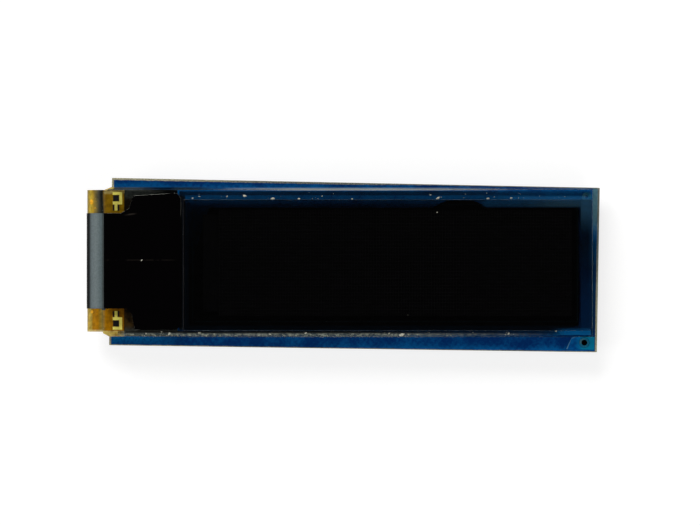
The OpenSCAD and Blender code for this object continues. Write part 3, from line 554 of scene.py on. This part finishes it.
def black_film(name, rough_low=0.22):
    """Black tape: fine texture and dust in its surface."""
    m = Material(name, IOR=1.12)
    point = m.place(turned=True)[0]
    fine = m.noise(point, 22.0, detail=4.0, seed=31.0)
    lint = m.step(m.noise(point, 6.0, detail=6.0, roughness=0.7, seed=32.0), 0.7, 0.82)
    m.set("Base Color", m.mix(lint, m.mix(fine, srgb(1, 1, 1), srgb(3, 2, 3)), srgb(18, 17, 16)))
    m.set("Roughness", m.add(m.times(fine, 0.12), rough_low))
    m.bump(fine, 0.002)
    return m


def ledge_tape():
    """Black film with a painted highlight on its cut rims beside the flex, a long scratch and a short one.
    """
    m = black_film("black_tape_ledge")
    point, x, y, _ = m.place(turned=True)
    long_one = panel_scratch(m, point, x, y, -14.0, -10.1, 0.17, 0.05)
    short_one = panel_scratch(m, point, x, y, -12.85, -12.35, 4.4, 0.06, lean=0.125)
    scratches = m.larger(m.times(long_one, 0.1), m.times(short_one, 0.3))
    colour = m.mix(scratches, m.base(), srgb(64, 58, 52))
    # Painted highlight: the cut rims at the top and at the lower corner are drawn pale.
    rim = m.times(m.step(m.flatness(), 0.97, 0.93), m.step(m.noise(point, 2.2, seed=33.0), 0.36, 0.5))
    top_rim_highlight = m.times(m.step(y, 2.6, 2.8), m.scaled(m.step(x, -9.95, -9.85), -0.65, 1.0))
    shown = m.add(top_rim_highlight, m.times(m.step(y, -2.9, -3.2), m.step(x, -12.0, -12.3)))
    m.set("Base Color", m.mix(m.times(rim, shown), colour, srgb(196, 198, 186)))
    return m


# Half the distance between the display's columns and between its rows, in millimetres.
COLUMN_HALF, ROW_HALF = 0.08, 0.1


def display_layers():
    """The unlit rows and columns, all but invisible behind the polarizer."""
    m = Material("emitter_stack", IOR=1.5)
    point, x, y, _ = m.place(turned=True)
    column = m.step(m.math("PINGPONG", x, COLUMN_HALF), COLUMN_HALF - 0.014, COLUMN_HALF - 0.006)
    row = m.step(m.math("PINGPONG", y, ROW_HALF), ROW_HALF - 0.016, ROW_HALF - 0.008)
    lines = m.larger(column, row)
    tone = m.mix(m.noise(point, 0.7, seed=41.0), srgb(3, 3, 4), srgb(6, 5, 6))
    m.set("Base Color", m.mix(lines, tone, srgb(7, 6, 7)))
    m.set("Roughness", m.scaled(lines, 0.1, 0.2))
    return m


def ledge_resin():
    """Dark resin under the ledge, greyer where it thins out towards the glass edges."""
    m = Material("ledge_resin", IOR=1.12)
    point, x, y, _ = m.place(turned=True)
    cloud = m.noise(point, 2.4, detail=5.0, seed=43.0)
    thin = m.step(m.add(m.math("ABSOLUTE", y), m.times(cloud, 0.5)), 3.85, 4.25)
    brown = m.mix(cloud, srgb(6, 3, 2), srgb(30, 20, 6))
    by_mark = m.times(m.step(x, -12.2, -12.7), m.step(y, -1.5, -2.6))
    brown = m.mix(m.times(by_mark, m.step(cloud, 0.3, 0.6)), brown, srgb(64, 46, 16))
    mottle = m.noise(point, 7.0, detail=5.0, seed=44.0)
    grey = m.mix(m.step(mottle, 0.3, 0.7), srgb(36, 40, 38), srgb(62, 66, 62))
    faded = m.times(m.step(x, -11.6, -10.4), m.step(y, 0.0, 1.0))
    grey = m.mix(faded, grey, srgb(7, 9, 10))
    low_rim = m.times(m.step(y, -4.0, -4.15), m.step(mottle, 0.4, 0.6))
    grey = m.mix(m.times(low_rim, 0.6), grey, srgb(104, 108, 98))
    m.set("Base Color", m.mix(thin, brown, grey))
    m.set("Roughness", m.scaled(cloud, 0.2, 0.3))
    m.bump(cloud, 0.02)
    return m


# ---- Flex circuit ----


def shaded(m, colour, factor, dark, light):
    """The colour times a grey between dark and light, by factor."""
    shade = m.mix(factor, neutral(dark), neutral(light))
    made = m.node("ShaderNodeMix", {0: 1.0, 6: colour, 7: shade}, data_type="RGBA", blend_type="MULTIPLY")
    return made.outputs[2]


def glint(m, x, y, centre, wide, tall, blotch):
    """1 in an uneven bright spot round the centre."""
    across = m.times(m.add(x, -centre[0]), 1 / wide)
    up = m.times(m.add(y, -centre[1]), 1 / tall)
    reach = m.add(m.times(across, across), m.times(up, up))
    return m.step(m.add(reach, m.times(blotch, 1.6)), 1.7, 1.1)


def amber_film():
    """Polyimide film: painted highlight and shade across the fold, greyish where glue wets it, amber under
    the glass, with painted sheen and glints.
    """
    m = Material("amber_film", Specular_IOR_Level=0.05)
    point, x, y, z = m.place(turned=True)
    wrinkle = m.noise(m.stretched(point, 1.6, 0.7, 1.0), 1.4, detail=4.0, seed=51.0)
    blotch = m.noise(point, 4.4, detail=4.0, seed=52.0)
    along = m.add(x, HALF_L)
    shifted = m.add(along, m.times(m.math("SUBTRACT", wrinkle, 0.5), 0.24))
    place = m.linear(shifted, -1.0, 0.8)
    # Painted highlight and shade across the fold: pale on its outer bend, dark inside it on the upper side,
    # amber under the glass.
    pale, amber = srgb(170, 144, 58), srgb(144, 98, 0)
    low_side_shaded = [(0.06, srgb(158, 132, 50)), (0.1, pale), (0.2, srgb(160, 136, 54)), (0.25, amber)]
    low_side_shaded += [(0.4, srgb(146, 98, 0)), (0.46, srgb(134, 104, 28)), (0.52, srgb(132, 110, 46))]
    low_side_shaded += [(0.57, srgb(122, 102, 46))]
    low_side_shaded += [(0.61, srgb(150, 112, 24)), (0.66, srgb(160, 108, 0)), (0.95, srgb(150, 98, 0))]
    high_side_shaded = [(0.06, srgb(134, 112, 38)), (0.1, srgb(150, 128, 46)), (0.17, srgb(172, 146, 48))]
    high_side_shaded += [(0.24, srgb(156, 126, 34))]
    high_side_shaded += [(0.29, srgb(124, 102, 40)), (0.36, srgb(94, 84, 46)), (0.43, srgb(62, 60, 50))]
    high_side_shaded += [(0.49, srgb(38, 38, 32)), (0.535, srgb(20, 22, 16)), (0.57, srgb(40, 38, 26))]
    high_side_shaded += [(0.61, srgb(124, 92, 10)), (0.95, srgb(138, 104, 0))]
    sides = m.mix(upper_half(m, y), m.ramp(place, low_side_shaded), m.ramp(place, high_side_shaded))
    # Painted sheen in patches on the fold.
    painted_sheen = m.times(m.step(m.noise(point, 4.5, detail=2.0, seed=53.0), 0.62, 0.72), m.step(place, 0.4, 0.3))
    sides = m.mix(painted_sheen, sides, srgb(206, 150, 24))
    # Painted glints on the fold.
    upper_glint = glint(m, x, y, (-14.9, 3.56), 0.13, 0.2, blotch)
    lower_glint = glint(m, x, y, (-14.87, -2.84), 0.09, 0.1, blotch)
    sides = m.mix(m.larger(upper_glint, lower_glint), sides, srgb(222, 160, 36))
    past_mark = m.step(x, -13.02, -12.97)
    sides = m.mix(past_mark, sides, srgb(44, 30, 4))
    smear = m.times(m.step(y, 3.95, 4.1), m.step(place, 0.58, 0.66))
    sides = m.mix(m.times(smear, m.step(blotch, 0.3, 0.6)), sides, srgb(150, 134, 76))
    rim = m.times(m.step(y, -3.84, -3.94), m.step(place, 0.62, 0.5))
    tone = shaded(m, sides, m.step(blotch, 0.3, 0.7), 0.72, 1.22)
    beside_coat = m.times(m.window(x, -14.3, -14.08, 0.02), m.window(y, -2.74, 2.87, 0.02))
    tone = m.mix(m.times(beside_coat, m.step(z, 2.4, 2.6)), tone, srgb(62, 70, 70))
    m.set("Base Color", m.mix(m.times(rim, 0.5), tone, srgb(206, 192, 140)))
    m.set("Roughness", m.scaled(blotch, 0.2, 0.3))
    m.bump(m.add(wrinkle, m.times(blotch, 0.3)), 0.02, 0.6)
    return m


# Distance between the flex conductors, which raise faint ridges in the coat over them.
CONDUCTOR_PITCH = 0.396


def grey_coat():
    """The grey cover coat over the conductors, with painted shade where it turns under and a painted
    highlight across its top.
    """
    m = Material("grey_coat", Specular_IOR_Level=0.02)
    point, x, y, _ = m.place(turned=True)
    along = m.add(x, HALF_L)
    fine = m.noise(point, 11.0, detail=4.0, seed=61.0)
    ridges = wave(m, y, CONDUCTOR_PITCH)
    # Painted shade and highlight of the fold: dark where the coat turns down, lightest across its top.
    stops = [(0.04, srgb(26, 28, 28)), (0.1, srgb(10, 11, 12)), (0.2, srgb(12, 14, 15))]
    stops += [(0.27, srgb(78, 86, 88)), (0.34, srgb(94, 103, 105)), (0.56, srgb(104, 114, 115))]
    stops += [(0.8, srgb(92, 104, 106)), (0.93, srgb(84, 95, 97)), (1.0, srgb(72, 82, 82))]
    tone = m.ramp(m.linear(along, -1.0, 0.1), stops)
    m.set("Base Color", shaded(m, tone, m.step(fine, 0.3, 0.7), 0.86, 1.1))
    m.set("Roughness", m.scaled(fine, 0.2, 0.4))
    m.bump(m.add(fine, m.times(ridges, 0.12)), 0.006)
    return m


def plain(name, colour, scale, amount, depth_mm, rough, **sockets):
    """A plain finish with fine variation: the colour is made darker and lighter by amount."""
    m = Material(name, **sockets)
    point = m.place()[0]
    fine = m.noise(point, scale)
    coarse = m.noise(point, scale / 7, seed=3.0)
    both = m.add(m.times(fine, 0.6), m.times(coarse, 0.4))
    dark, light = toned(colour, 1 - amount), toned(colour, 1 + amount)
    m.set("Base Color", m.mix(m.step(both, 0.3, 0.7), dark, light))
    m.set("Roughness", m.add(m.times(both, rough[1] - rough[0]), rough[0]))
    m.bump(fine, depth_mm)
    return m


def dress_cad_nodes():
    """Gives every CAD node its finish."""
    wear("circuit_board", solder_mask())
    wear("back_tracks", masked_copper("masked_copper_tracks", srgb(8, 62, 108), srgb(16, 84, 132)))
    wear("front_copper", corner_copper())
    gold = srgb(214, 184, 96)
    wear("plated_vias", via_lands())
    wear("part_pads", plated_metal("tinned_pad", srgb(190, 190, 184), 0.3, 0.5))
    wear("flex_pads", plated_metal("gold_pad_flex", gold, 0.25, 0.45))
    wear("wire_pads", plated_metal("gold_pad_wire", gold, 0.22, 0.45))
    wear("mounting_tape", black_film("black_tape_mounting", 0.5))
    wear("rear_glass", rear_glass())
    wear("front_glass", front_glass())
    wear("edge_seal", edge_seal())
    getter = plain("getter_sheet", srgb(6, 6, 8), 5.0, 0.2, 0.004, (0.6, 0.8), Specular_IOR_Level=0.05)
    wear("getter_sheet", getter)
    wear("emitter_layers", display_layers())
    wear("polarizer", polarizer())
    wear("ledge_tape", ledge_tape())
    wear("ledge_resin", ledge_resin())
    wear("driver_chip", plain("silicon", srgb(70, 72, 80), 12.0, 0.15, 0.001, (0.15, 0.3), Metallic=0.6))
    wear("bond_films", plain("bond_film", srgb(62, 68, 66), 9.0, 0.25, 0.002, (0.3, 0.5)))
    wear("glass_marks", plain("dark_metal", srgb(10, 10, 12), 10.0, 0.3, 0.001, (0.2, 0.4)))
    wear("flex_film", amber_film())
    wear("flex_coat", grey_coat())
    wear("flex_marks", plated_metal("gold_mark", srgb(255, 242, 106), 0.4, 0.6, metallic=0.05))
    wear("flex_traces", plated_metal("copper_trace", srgb(206, 150, 92), 0.3, 0.5))
    solder = srgb(196, 198, 198), 6.0, 0.12, 0.01, (0.2, 0.42)
    wear("flex_solder", plain("solder_finger", *solder, Metallic=0.85))
    wear("part_solder", plain("solder_fillet", *solder, Metallic=0.85))
    wear("capacitor_bodies", plain("capacitor", srgb(150, 112, 76), 14.0, 0.16, 0.006, (0.35, 0.6)))
    # Scale and amount of the grain, its depth and the roughness of tinned ends.
    tin = 9.0, 0.14, 0.006, (0.28, 0.5)
    wear("capacitor_ends", plain("tin_end_cap", srgb(186, 186, 182), *tin, Metallic=0.8))
    wear("resistor_bodies", plain("alumina", srgb(226, 224, 216), 12.0, 0.06, 0.004, (0.4, 0.6)))
    wear("resistor_coats", plain("resistor_coat", srgb(20, 20, 22), 10.0, 0.3, 0.006, (0.3, 0.5)))
    wear("resistor_ends", plain("tin_end_res", srgb(190, 190, 186), *tin, Metallic=0.8))
    wear("regulator_body", plain("moulding", srgb(26, 26, 28), 16.0, 0.25, 0.01, (0.45, 0.7)))
    wear("regulator_legs", plated_metal("tinned_leg", srgb(190, 190, 186), 0.25, 0.45))


# How wide the softened edges of the CAD solids are, in millimetres.
EDGE_WIDTHS = {
    "front_glass": 0.17,
    "rear_glass": 0.05,
    "polarizer": 0.035,
    "ledge_tape": 0.06,
    "circuit_board": 0.03,
    "regulator_body": 0.04,
    "capacitor_bodies": 0.03,
    "capacitor_ends": 0.03,
    "resistor_ends": 0.02,
}
# Vertices closer than this are made one first, in millimetres.
SAME_POINT = 0.0005
# Only edges at which the faces turn by more than this are softened.
SHARP_ANGLE = math.radians(40)


def soften_edges():
    """Takes the knife edge off the CAD solids, as grinding, moulding and cutting do."""
    for name, width in EDGE_WIDTHS.items():
        weld = NODES[name].modifiers.new("weld", "WELD")
        weld.merge_threshold = SAME_POINT * MM
        bevel = NODES[name].modifiers.new("soft_edge", "BEVEL")
        bevel.width = width * MM
        bevel.segments = 2
        bevel.limit_method = "ANGLE"
        bevel.angle_limit = SHARP_ANGLE


# ---- Glue, crust and dust ----


def add_piece(name, bm, material):
    """Makes the mesh a piece that rides on the module."""
    mesh = bpy.data.meshes.new(name)
    bmesh.ops.recalc_face_normals(bm, faces=bm.faces)
    bm.to_mesh(mesh)
    bm.free()
    piece = bpy.data.objects.new(name, mesh)
    bpy.context.scene.collection.objects.link(piece)
    mesh.materials.append(material.material)
    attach(piece, "root")


def stations(start, length, count):
    """Evenly spaced places along the panel, from start over a length in millimetres."""
    return [start + length * i / (count - 1) for i in range(count)]


def strip(bm, path, bulge, depth):
    """A closed body along (x, y_low, y_high, z) stations on the panel: domed by bulge, as thick as depth."""
    across = 5  # points over the dome
    rings = []
    for x, y_low, y_high, z in path:
        ring = []
        for j in range(across):
            share = j / (across - 1)
            y = y_low + (y_high - y_low) * share
            ring.append(bm.verts.new(on_panel(x, y, z + bulge * 4 * share * (1 - share))))
        for y in (y_high, y_low):
            ring.append(bm.verts.new(on_panel(x, y, z - depth)))
        rings.append(ring)
    for a, b in zip(rings, rings[1:]):
        for j in range(len(a)):
            k = (j + 1) % len(a)
            bm.faces.new((a[j], b[j], b[k], a[k]))
    bm.faces.new(rings[0])
    bm.faces.new(rings[-1])


def glue_material():
    """Yellowed adhesive that was squeezed out past the film, with brighter bubbles."""
    m = Material("amber_glue", IOR=1.3)
    point, x, y, _ = m.place(turned=True)
    cloud = m.noise(point, 4.0, detail=5.0, seed=71.0)
    bubbles = m.step(m.noise(point, 5.5, detail=1.0, seed=72.0), 0.62, 0.7)
    tone = m.mix(m.step(cloud, 0.35, 0.65), srgb(144, 114, 26), srgb(200, 174, 84))
    towards_resin = m.step(x, -13.3, -13.0)
    tone = m.mix(m.times(towards_resin, 0.6), tone, srgb(128, 126, 102))
    low = m.step(y, -HALF_W + 0.14, -HALF_W + 0.02)
    tone = m.mix(m.times(low, 0.4), tone, srgb(138, 122, 70))
    m.set("Base Color", m.mix(m.times(bubbles, 0.8), tone, srgb(232, 184, 66)))
    m.set("Roughness", m.scaled(cloud, 0.2, 0.25))
    m.bump(m.add(cloud, bubbles), 0.01)
    return m


def add_squeezed_glue():
    """Adhesive beside the film under both glass corners, cut off as the glass is at the lower one."""
    bm = bmesh.new()
    under_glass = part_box("edge_seal")[1].z / MM - 0.035
    corner_length, corner_width = 0.4, 0.2
    path = []
    for x in stations(-HALF_L + 0.03, 1.24, 27):
        cut = max(0.0, 1 - (x + HALF_L) / corner_length) * corner_width
        path.append((x, -HALF_W + 0.03 + cut, -HALF_W + 0.36, under_glass))
    strip(bm, path, bulge=0.028, depth=0.05)
    start = -HALF_L + 0.1
    path = []
    for x in stations(start, 0.62, 15):
        reach = min(0.16, 0.4 * (x - start))
        path.append((x, HALF_W - 0.1, HALF_W - 0.05 + reach, under_glass))
    strip(bm, path, bulge=0.02, depth=0.05)
    add_piece("squeezed_glue", bm, glue_material())


def crust_material():
    """Grey crumbs of dried flux and dirt along the glass edge, with a dark film of dirt behind them."""
    m = Material("edge_crust", IOR=1.3)
    point, x, y, _ = m.place(turned=True)
    coarse = m.noise(m.stretched(point, 0.8, 1.1, 1.0), 6.0, detail=5.0, roughness=0.7, seed=81.0)
    fine = m.noise(point, 15.0, seed=82.0)
    share = along_glass(m, x)
    crumbs = [(0.03, 0.2), (0.08, 0.24), (0.12, 0.86), (0.24, 0.68), (0.4, 1.0), (0.5, 0.86), (0.57, 0.6)]
    crumbs += [(0.64, 0.42), (0.71, 0.22), (0.78, 0.12), (0.85, 0.06), (0.9, 0.03), (0.93, 0.0)]
    dirt = [(0.03, 0.5), (0.1, 0.92), (0.5, 0.92), (0.6, 0.75), (0.7, 0.5), (0.85, 0.25), (0.92, 0.0)]
    crumb_level = m.levels(share, crumbs)
    dirt_level = m.levels(share, dirt)
    wander = m.times(m.add(coarse, -0.5), 0.12)
    from_edge = m.add(m.add(y, HALF_W), wander)
    ridge = m.times(m.step(from_edge, 0.0, 0.08), m.step(from_edge, 0.28, 0.16))
    grains = m.step(m.add(m.times(coarse, 0.7), m.times(fine, 0.3)), 0.42, 0.6)
    shown = m.times(ridge, m.times(crumb_level, m.scaled(grains, 0.7, 0.4)))
    behind = m.times(dirt_level, m.times(m.step(from_edge, 0.02, 0.14), m.step(from_edge, 0.42, 0.3)))
    m.set("Alpha", m.times(m.outer_face(), m.larger(shown, behind)))
    crumb_tone = m.mix(grains, srgb(30, 42, 46), srgb(122, 126, 114))
    pale_spots = m.step(m.noise(point, 6.0, detail=4.0, seed=83.0), 0.62, 0.72)
    crumb_tone = m.mix(m.times(pale_spots, 0.6), crumb_tone, srgb(186, 184, 166))
    dark_tone = m.mix(m.step(fine, 0.4, 0.7), srgb(5, 5, 5), srgb(16, 16, 15))
    m.set("Base Color", m.mix(ridge, dark_tone, crumb_tone))
    m.set("Specular IOR Level", m.scaled(ridge, 0.4, 0.1))
    m.set("Roughness", m.scaled(fine, 0.2, 0.6))
    m.bump(m.add(coarse, fine), 0.02)
    return m


def add_edge_crust():
    """A low uneven ridge of crumbs on the glass, between its lower edge and the dark film."""
    bm = bmesh.new()
    chance = random.Random(7)
    film_edge = panel_rectangle("polarizer")[2]
    clearance, lift = 0.005, 0.003
    path = []
    for x in stations(-HALF_L + 0.9, 25.7, 260):
        low = -HALF_W + clearance + chance.uniform(0.0, 0.01)
        path.append((x, low, film_edge - clearance, GLASS_FRONT + lift + chance.uniform(0.0, 0.004)))
    strip(bm, path, bulge=0.02, depth=0.002)
    add_piece("edge_crust", bm, crust_material())


# How far the clear adhesive with its painted highlight and the resin stand out past the upper glass edge, in
# millimetres.
BEAD_WIDTH = 0.1
RESIN_WIDTH = 0.16


def bead_material():
    """A thread of clear adhesive at the upper glass edge, with a painted highlight along its middle; resin
    at the flex.
    """
    m = Material("edge_bead", IOR=1.4)
    point, x, y, _ = m.place(turned=True)
    along = m.levels(along_glass(m, x), TOP_ARRIS_HIGHLIGHT)
    uneven = m.noise(m.stretched(point, 0.6, 1.0, 1.0), 1.6, seed=91.0)
    fade = m.step(y, HALF_W + BEAD_WIDTH, HALF_W + 0.02)
    resin = m.times(m.step(x, -6.6, -9.6), m.step(y, HALF_W + 0.14, HALF_W + 0.06))
    # Painted highlight: a pale strip along the upper edge, brightest in the middle of its length.
    painted_highlight = m.times(m.times(along, fade), m.scaled(uneven, 0.25, 0.75))
    m.set("Alpha", m.times(m.outer_face(), m.larger(painted_highlight, m.times(resin, 0.9))))
    clear = m.mix(uneven, srgb(118, 142, 152), srgb(160, 168, 168))
    mottle = m.step(m.noise(point, 5.0, detail=4.0, seed=92.0), 0.3, 0.7)
    dark = shaded(m, resin_tone(m, x), mottle, 0.75, 1.2)
    m.set("Base Color", m.mix(m.step(resin, 0.0, 0.15), clear, dark))
    m.set("Specular IOR Level", m.scaled(m.step(x, -3.0, -7.0), -0.44, 0.5))
    m.set("Roughness", m.scaled(uneven, 0.2, 0.2))
    return m


def add_edge_bead():
    """The adhesive on the upper side of the front glass, just below its front, which carries the painted
    highlight.
    """
    bm = bmesh.new()
    path = []
    for x in stations(-HALF_L + 0.66, 27.6, 139):
        below_front = max(0.13, 0.4 - (x + HALF_L) * 0.16)
        path.append((x, HALF_W - 0.002, HALF_W + RESIN_WIDTH, GLASS_FRONT - below_front))
    strip(bm, path, bulge=0.012, depth=0.05)
    add_piece("edge_bead", bm, bead_material())


def dust_material():
    """Pale rough dust, mottled."""
    m = Material("dust", IOR=1.5)
    point = m.place()[0]
    mottle = m.step(m.noise(point, 12.0), 0.35, 0.65)
    m.set("Base Color", m.mix(mottle, srgb(128, 128, 114), srgb(206, 204, 188)))
    m.set("Roughness", m.scaled(m.noise(point, 20.0), 0.2, 0.7))
    m.bump(m.noise(point, 30.0), 0.01)
    return m


def add_flake(bm, chance, place, length, width, turn):
    """One dust flake: a small uneven lump that lies on a surface at place."""
    sides = 7
    rings = []
    for level, share in ((0.0, 1.0), (0.35, 0.9), (0.7, 0.45)):
        ring = []
        for i in range(sides):
            angle = 2 * math.pi * i / sides
            reach = share * chance.uniform(0.7, 1.15)
            x = math.cos(angle) * length / 2 * reach
            y = math.sin(angle) * width / 2 * reach
            turned = Matrix.Rotation(turn, 3, "Z") @ Vector((x, y, level * width * 0.6))
            ring.append(bm.verts.new(place + turned * MM))
        rings.append(ring)
    for low, high in zip(rings, rings[1:]):
        for i in range(sides):
            j = (i + 1) % sides
            bm.faces.new((low[i], low[j], high[j], high[i]))
    bm.faces.new(rings[-1])
    bm.faces.new(reversed(rings[0]))


# Larger specks that catch the eye: place along the panel and up it from its middle, and length.
SPECKS = [(-9.0, 3.76, 0.16), (-8.6, 3.86, 0.14), (-7.0, 3.86, 0.14), (-5.97, 3.9, 0.3)]
SPECKS += [(-4.33, 3.74, 0.32), (-2.82, 3.72, 0.2), (-1.48, 3.88, 0.12), (0.26, 3.72, 0.15)]
SPECKS += [(4.8, 3.95, 0.14), (5.25, 3.76, 0.3), (5.2, 2.94, 0.12), (8.15, 3.75, 0.2)]
SPECKS += [(9.5, 3.77, 0.18), (-11.95, 0.17, 0.15), (3.5, -3.02, 0.06), (-11.7, -4.1, 0.16)]
SPECKS += [(-10.8, -4.0, 0.14), (-10.35, -4.1, 0.22), (-8.6, -4.06, 0.24), (-7.75, -4.12, 0.2)]
SPECKS += [(-4.5, -4.12, 0.2), (-2.44, -4.08, 0.24), (2.4, -4.1, 0.22), (3.16, -4.16, 0.42)]
SPECKS += [(9.34, -4.1, 0.2), (12.1, -3.95, 0.16)]
# How many small flakes are strewn along the lower and the upper glass edge.
LOWER_FLAKES, UPPER_FLAKES = 46, 24


def scatter_dust():
    """The larger specks at their places, and small flakes strewn along the two long glass edges."""
    chance = random.Random(12)
    bm = bmesh.new()
    x1, _, y1, y2 = panel_rectangle("polarizer")
    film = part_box("polarizer")[1].z / MM - 0.015
    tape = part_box("ledge_tape")[1].z / MM

    def flake(x, y, size):
        """A flake on whatever surface is uppermost there, a little sunk into the film."""
        size *= 0.85
        width = size * chance.uniform(0.4, 0.65)
        z = GLASS_FRONT
        if y1 < y < y2:
            z = film if x > x1 else tape
        add_flake(bm, chance, on_panel(x, y, z), size, width, chance.uniform(-0.3, 0.9))

    for x, y, size in SPECKS:
        flake(x, y, size)
    for _ in range(LOWER_FLAKES):
        x = -HALF_L + 2.4 + chance.random() ** 1.3 * 23.0
        flake(x, -HALF_W + chance.uniform(0.05, 0.28), chance.uniform(0.05, 0.1))
    for _ in range(UPPER_FLAKES):
        flake(chance.uniform(-9.3, 13.8), HALF_W - chance.uniform(0.2, 0.56), chance.uniform(0.03, 0.07))
    add_piece("dust_specks", bm, dust_material())


# ---- Stage ----

# Width of the view at the panel, the camera's height over it and the sensor's width, in millimetres.
VIEW_WIDTH = 40.63
VIEW_DISTANCE = 420.0
SENSOR = 36.0
# The middle of the view, from the panel's middle.
VIEW_MID = (0.139, 0.029)


def add_camera():
    """A camera that looks straight down at the panel and is turned with it."""
    camera = bpy.data.cameras.new("camera")
    camera.sensor_width = SENSOR
    camera.lens = SENSOR * VIEW_DISTANCE / VIEW_WIDTH
    camera.clip_start = 0.01
    camera.clip_end = 50.0
    holder = bpy.data.objects.new("camera", camera)
    holder.location = on_panel(*VIEW_MID, GLASS_FRONT + VIEW_DISTANCE)
    holder.rotation_euler = (0, 0, PANEL_TURN)
    bpy.context.scene.collection.objects.link(holder)
    bpy.context.scene.camera = holder


def softbox(name, azimuth, elevation, distance, width, height, power):
    """A large area lamp that points at the module: angles in degrees, lengths in metres, power in watts."""
    light = bpy.data.lights.new(name, "AREA")
    light.shape = "RECTANGLE"
    light.size = width
    light.size_y = height
    light.energy = power
    lamp = bpy.data.objects.new(name, light)
    a, e = math.radians(azimuth), math.radians(elevation)
    lamp.location = Vector((math.cos(a) * math.cos(e), math.sin(a) * math.cos(e), math.sin(e))) * distance
    lamp.rotation_euler = (-lamp.location).to_track_quat("-Z", "Y").to_euler()
    bpy.context.scene.collection.objects.link(lamp)


def add_lights():
    """Soft light from above the upper edge, weaker from the opposite side and from the flex end."""
    softbox("key", azimuth=115, elevation=48, distance=0.9, width=0.5, height=0.4, power=5.6)
    softbox("fill", azimuth=-60, elevation=42, distance=1.0, width=0.6, height=0.5, power=3.4)
    softbox("left", azimuth=190, elevation=35, distance=0.9, width=0.4, height=0.4, power=2.0)


def add_world():
    """Grey at the horizon and dim overhead, as in a studio with a dark ceiling."""
    world = bpy.data.worlds.new("studio")
    bpy.context.scene.world = world
    world.use_nodes = True
    tree = world.node_tree
    background = tree.nodes["Background"]
    direction = tree.nodes.new("ShaderNodeTexCoord")
    split = tree.nodes.new("ShaderNodeSeparateXYZ")
    tree.links.new(direction.outputs["Generated"], split.inputs[0])
    level = tree.nodes.new("ShaderNodeMapRange")
    level.inputs["To Min"].default_value = 0.55
    level.inputs["To Max"].default_value = 0.02
    tree.links.new(split.outputs[2], level.inputs["Value"])
    tree.links.new(level.outputs[0], background.inputs["Color"])


def add_floor():
    """A wide pale floor, white to the camera and to mirrors, that keeps the module's shadow."""
    bm = bmesh.new()
    bmesh.ops.create_circle(bm, cap_ends=True, radius=20.0, segments=96)
    mesh = bpy.data.meshes.new("floor")
    bm.to_mesh(mesh)
    bm.free()
    floor = bpy.data.objects.new("floor", mesh)
    floor.location.z = -0.00001
    bpy.context.scene.collection.objects.link(floor)
    m = Material("floor")
    paper = m.node("ShaderNodeBsdfDiffuse", {"Color": neutral(0.8)})
    seen = m.node("ShaderNodeBsdfDiffuse", {"Color": neutral(0.38)})
    glow = m.node("ShaderNodeEmission", {"Color": neutral(1.0), "Strength": 0.7})
    shown = m.node("ShaderNodeAddShader", {0: seen.outputs[0], 1: glow.outputs[0]})
    rays = m.node("ShaderNodeLightPath").outputs
    mirrored = m.larger(rays["Is Glossy Ray"], rays["Is Transmission Ray"])
    direct = m.larger(rays["Is Camera Ray"], mirrored)
    choice = m.node("ShaderNodeMixShader", {0: direct, 1: paper.outputs[0], 2: shown.outputs[0]})
    m.put(m.tree.nodes["Material Output"].inputs["Surface"], choice.outputs[0])
    m.tree.nodes.remove(m.shader)
    mesh.materials.append(m.material)


dress_cad_nodes()
soften_edges()
add_squeezed_glue()
add_edge_crust()
add_edge_bead()
scatter_dust()
add_camera()
add_lights()
add_world()
add_floor()
bpy.context.scene.view_settings.view_transform = "Standard"
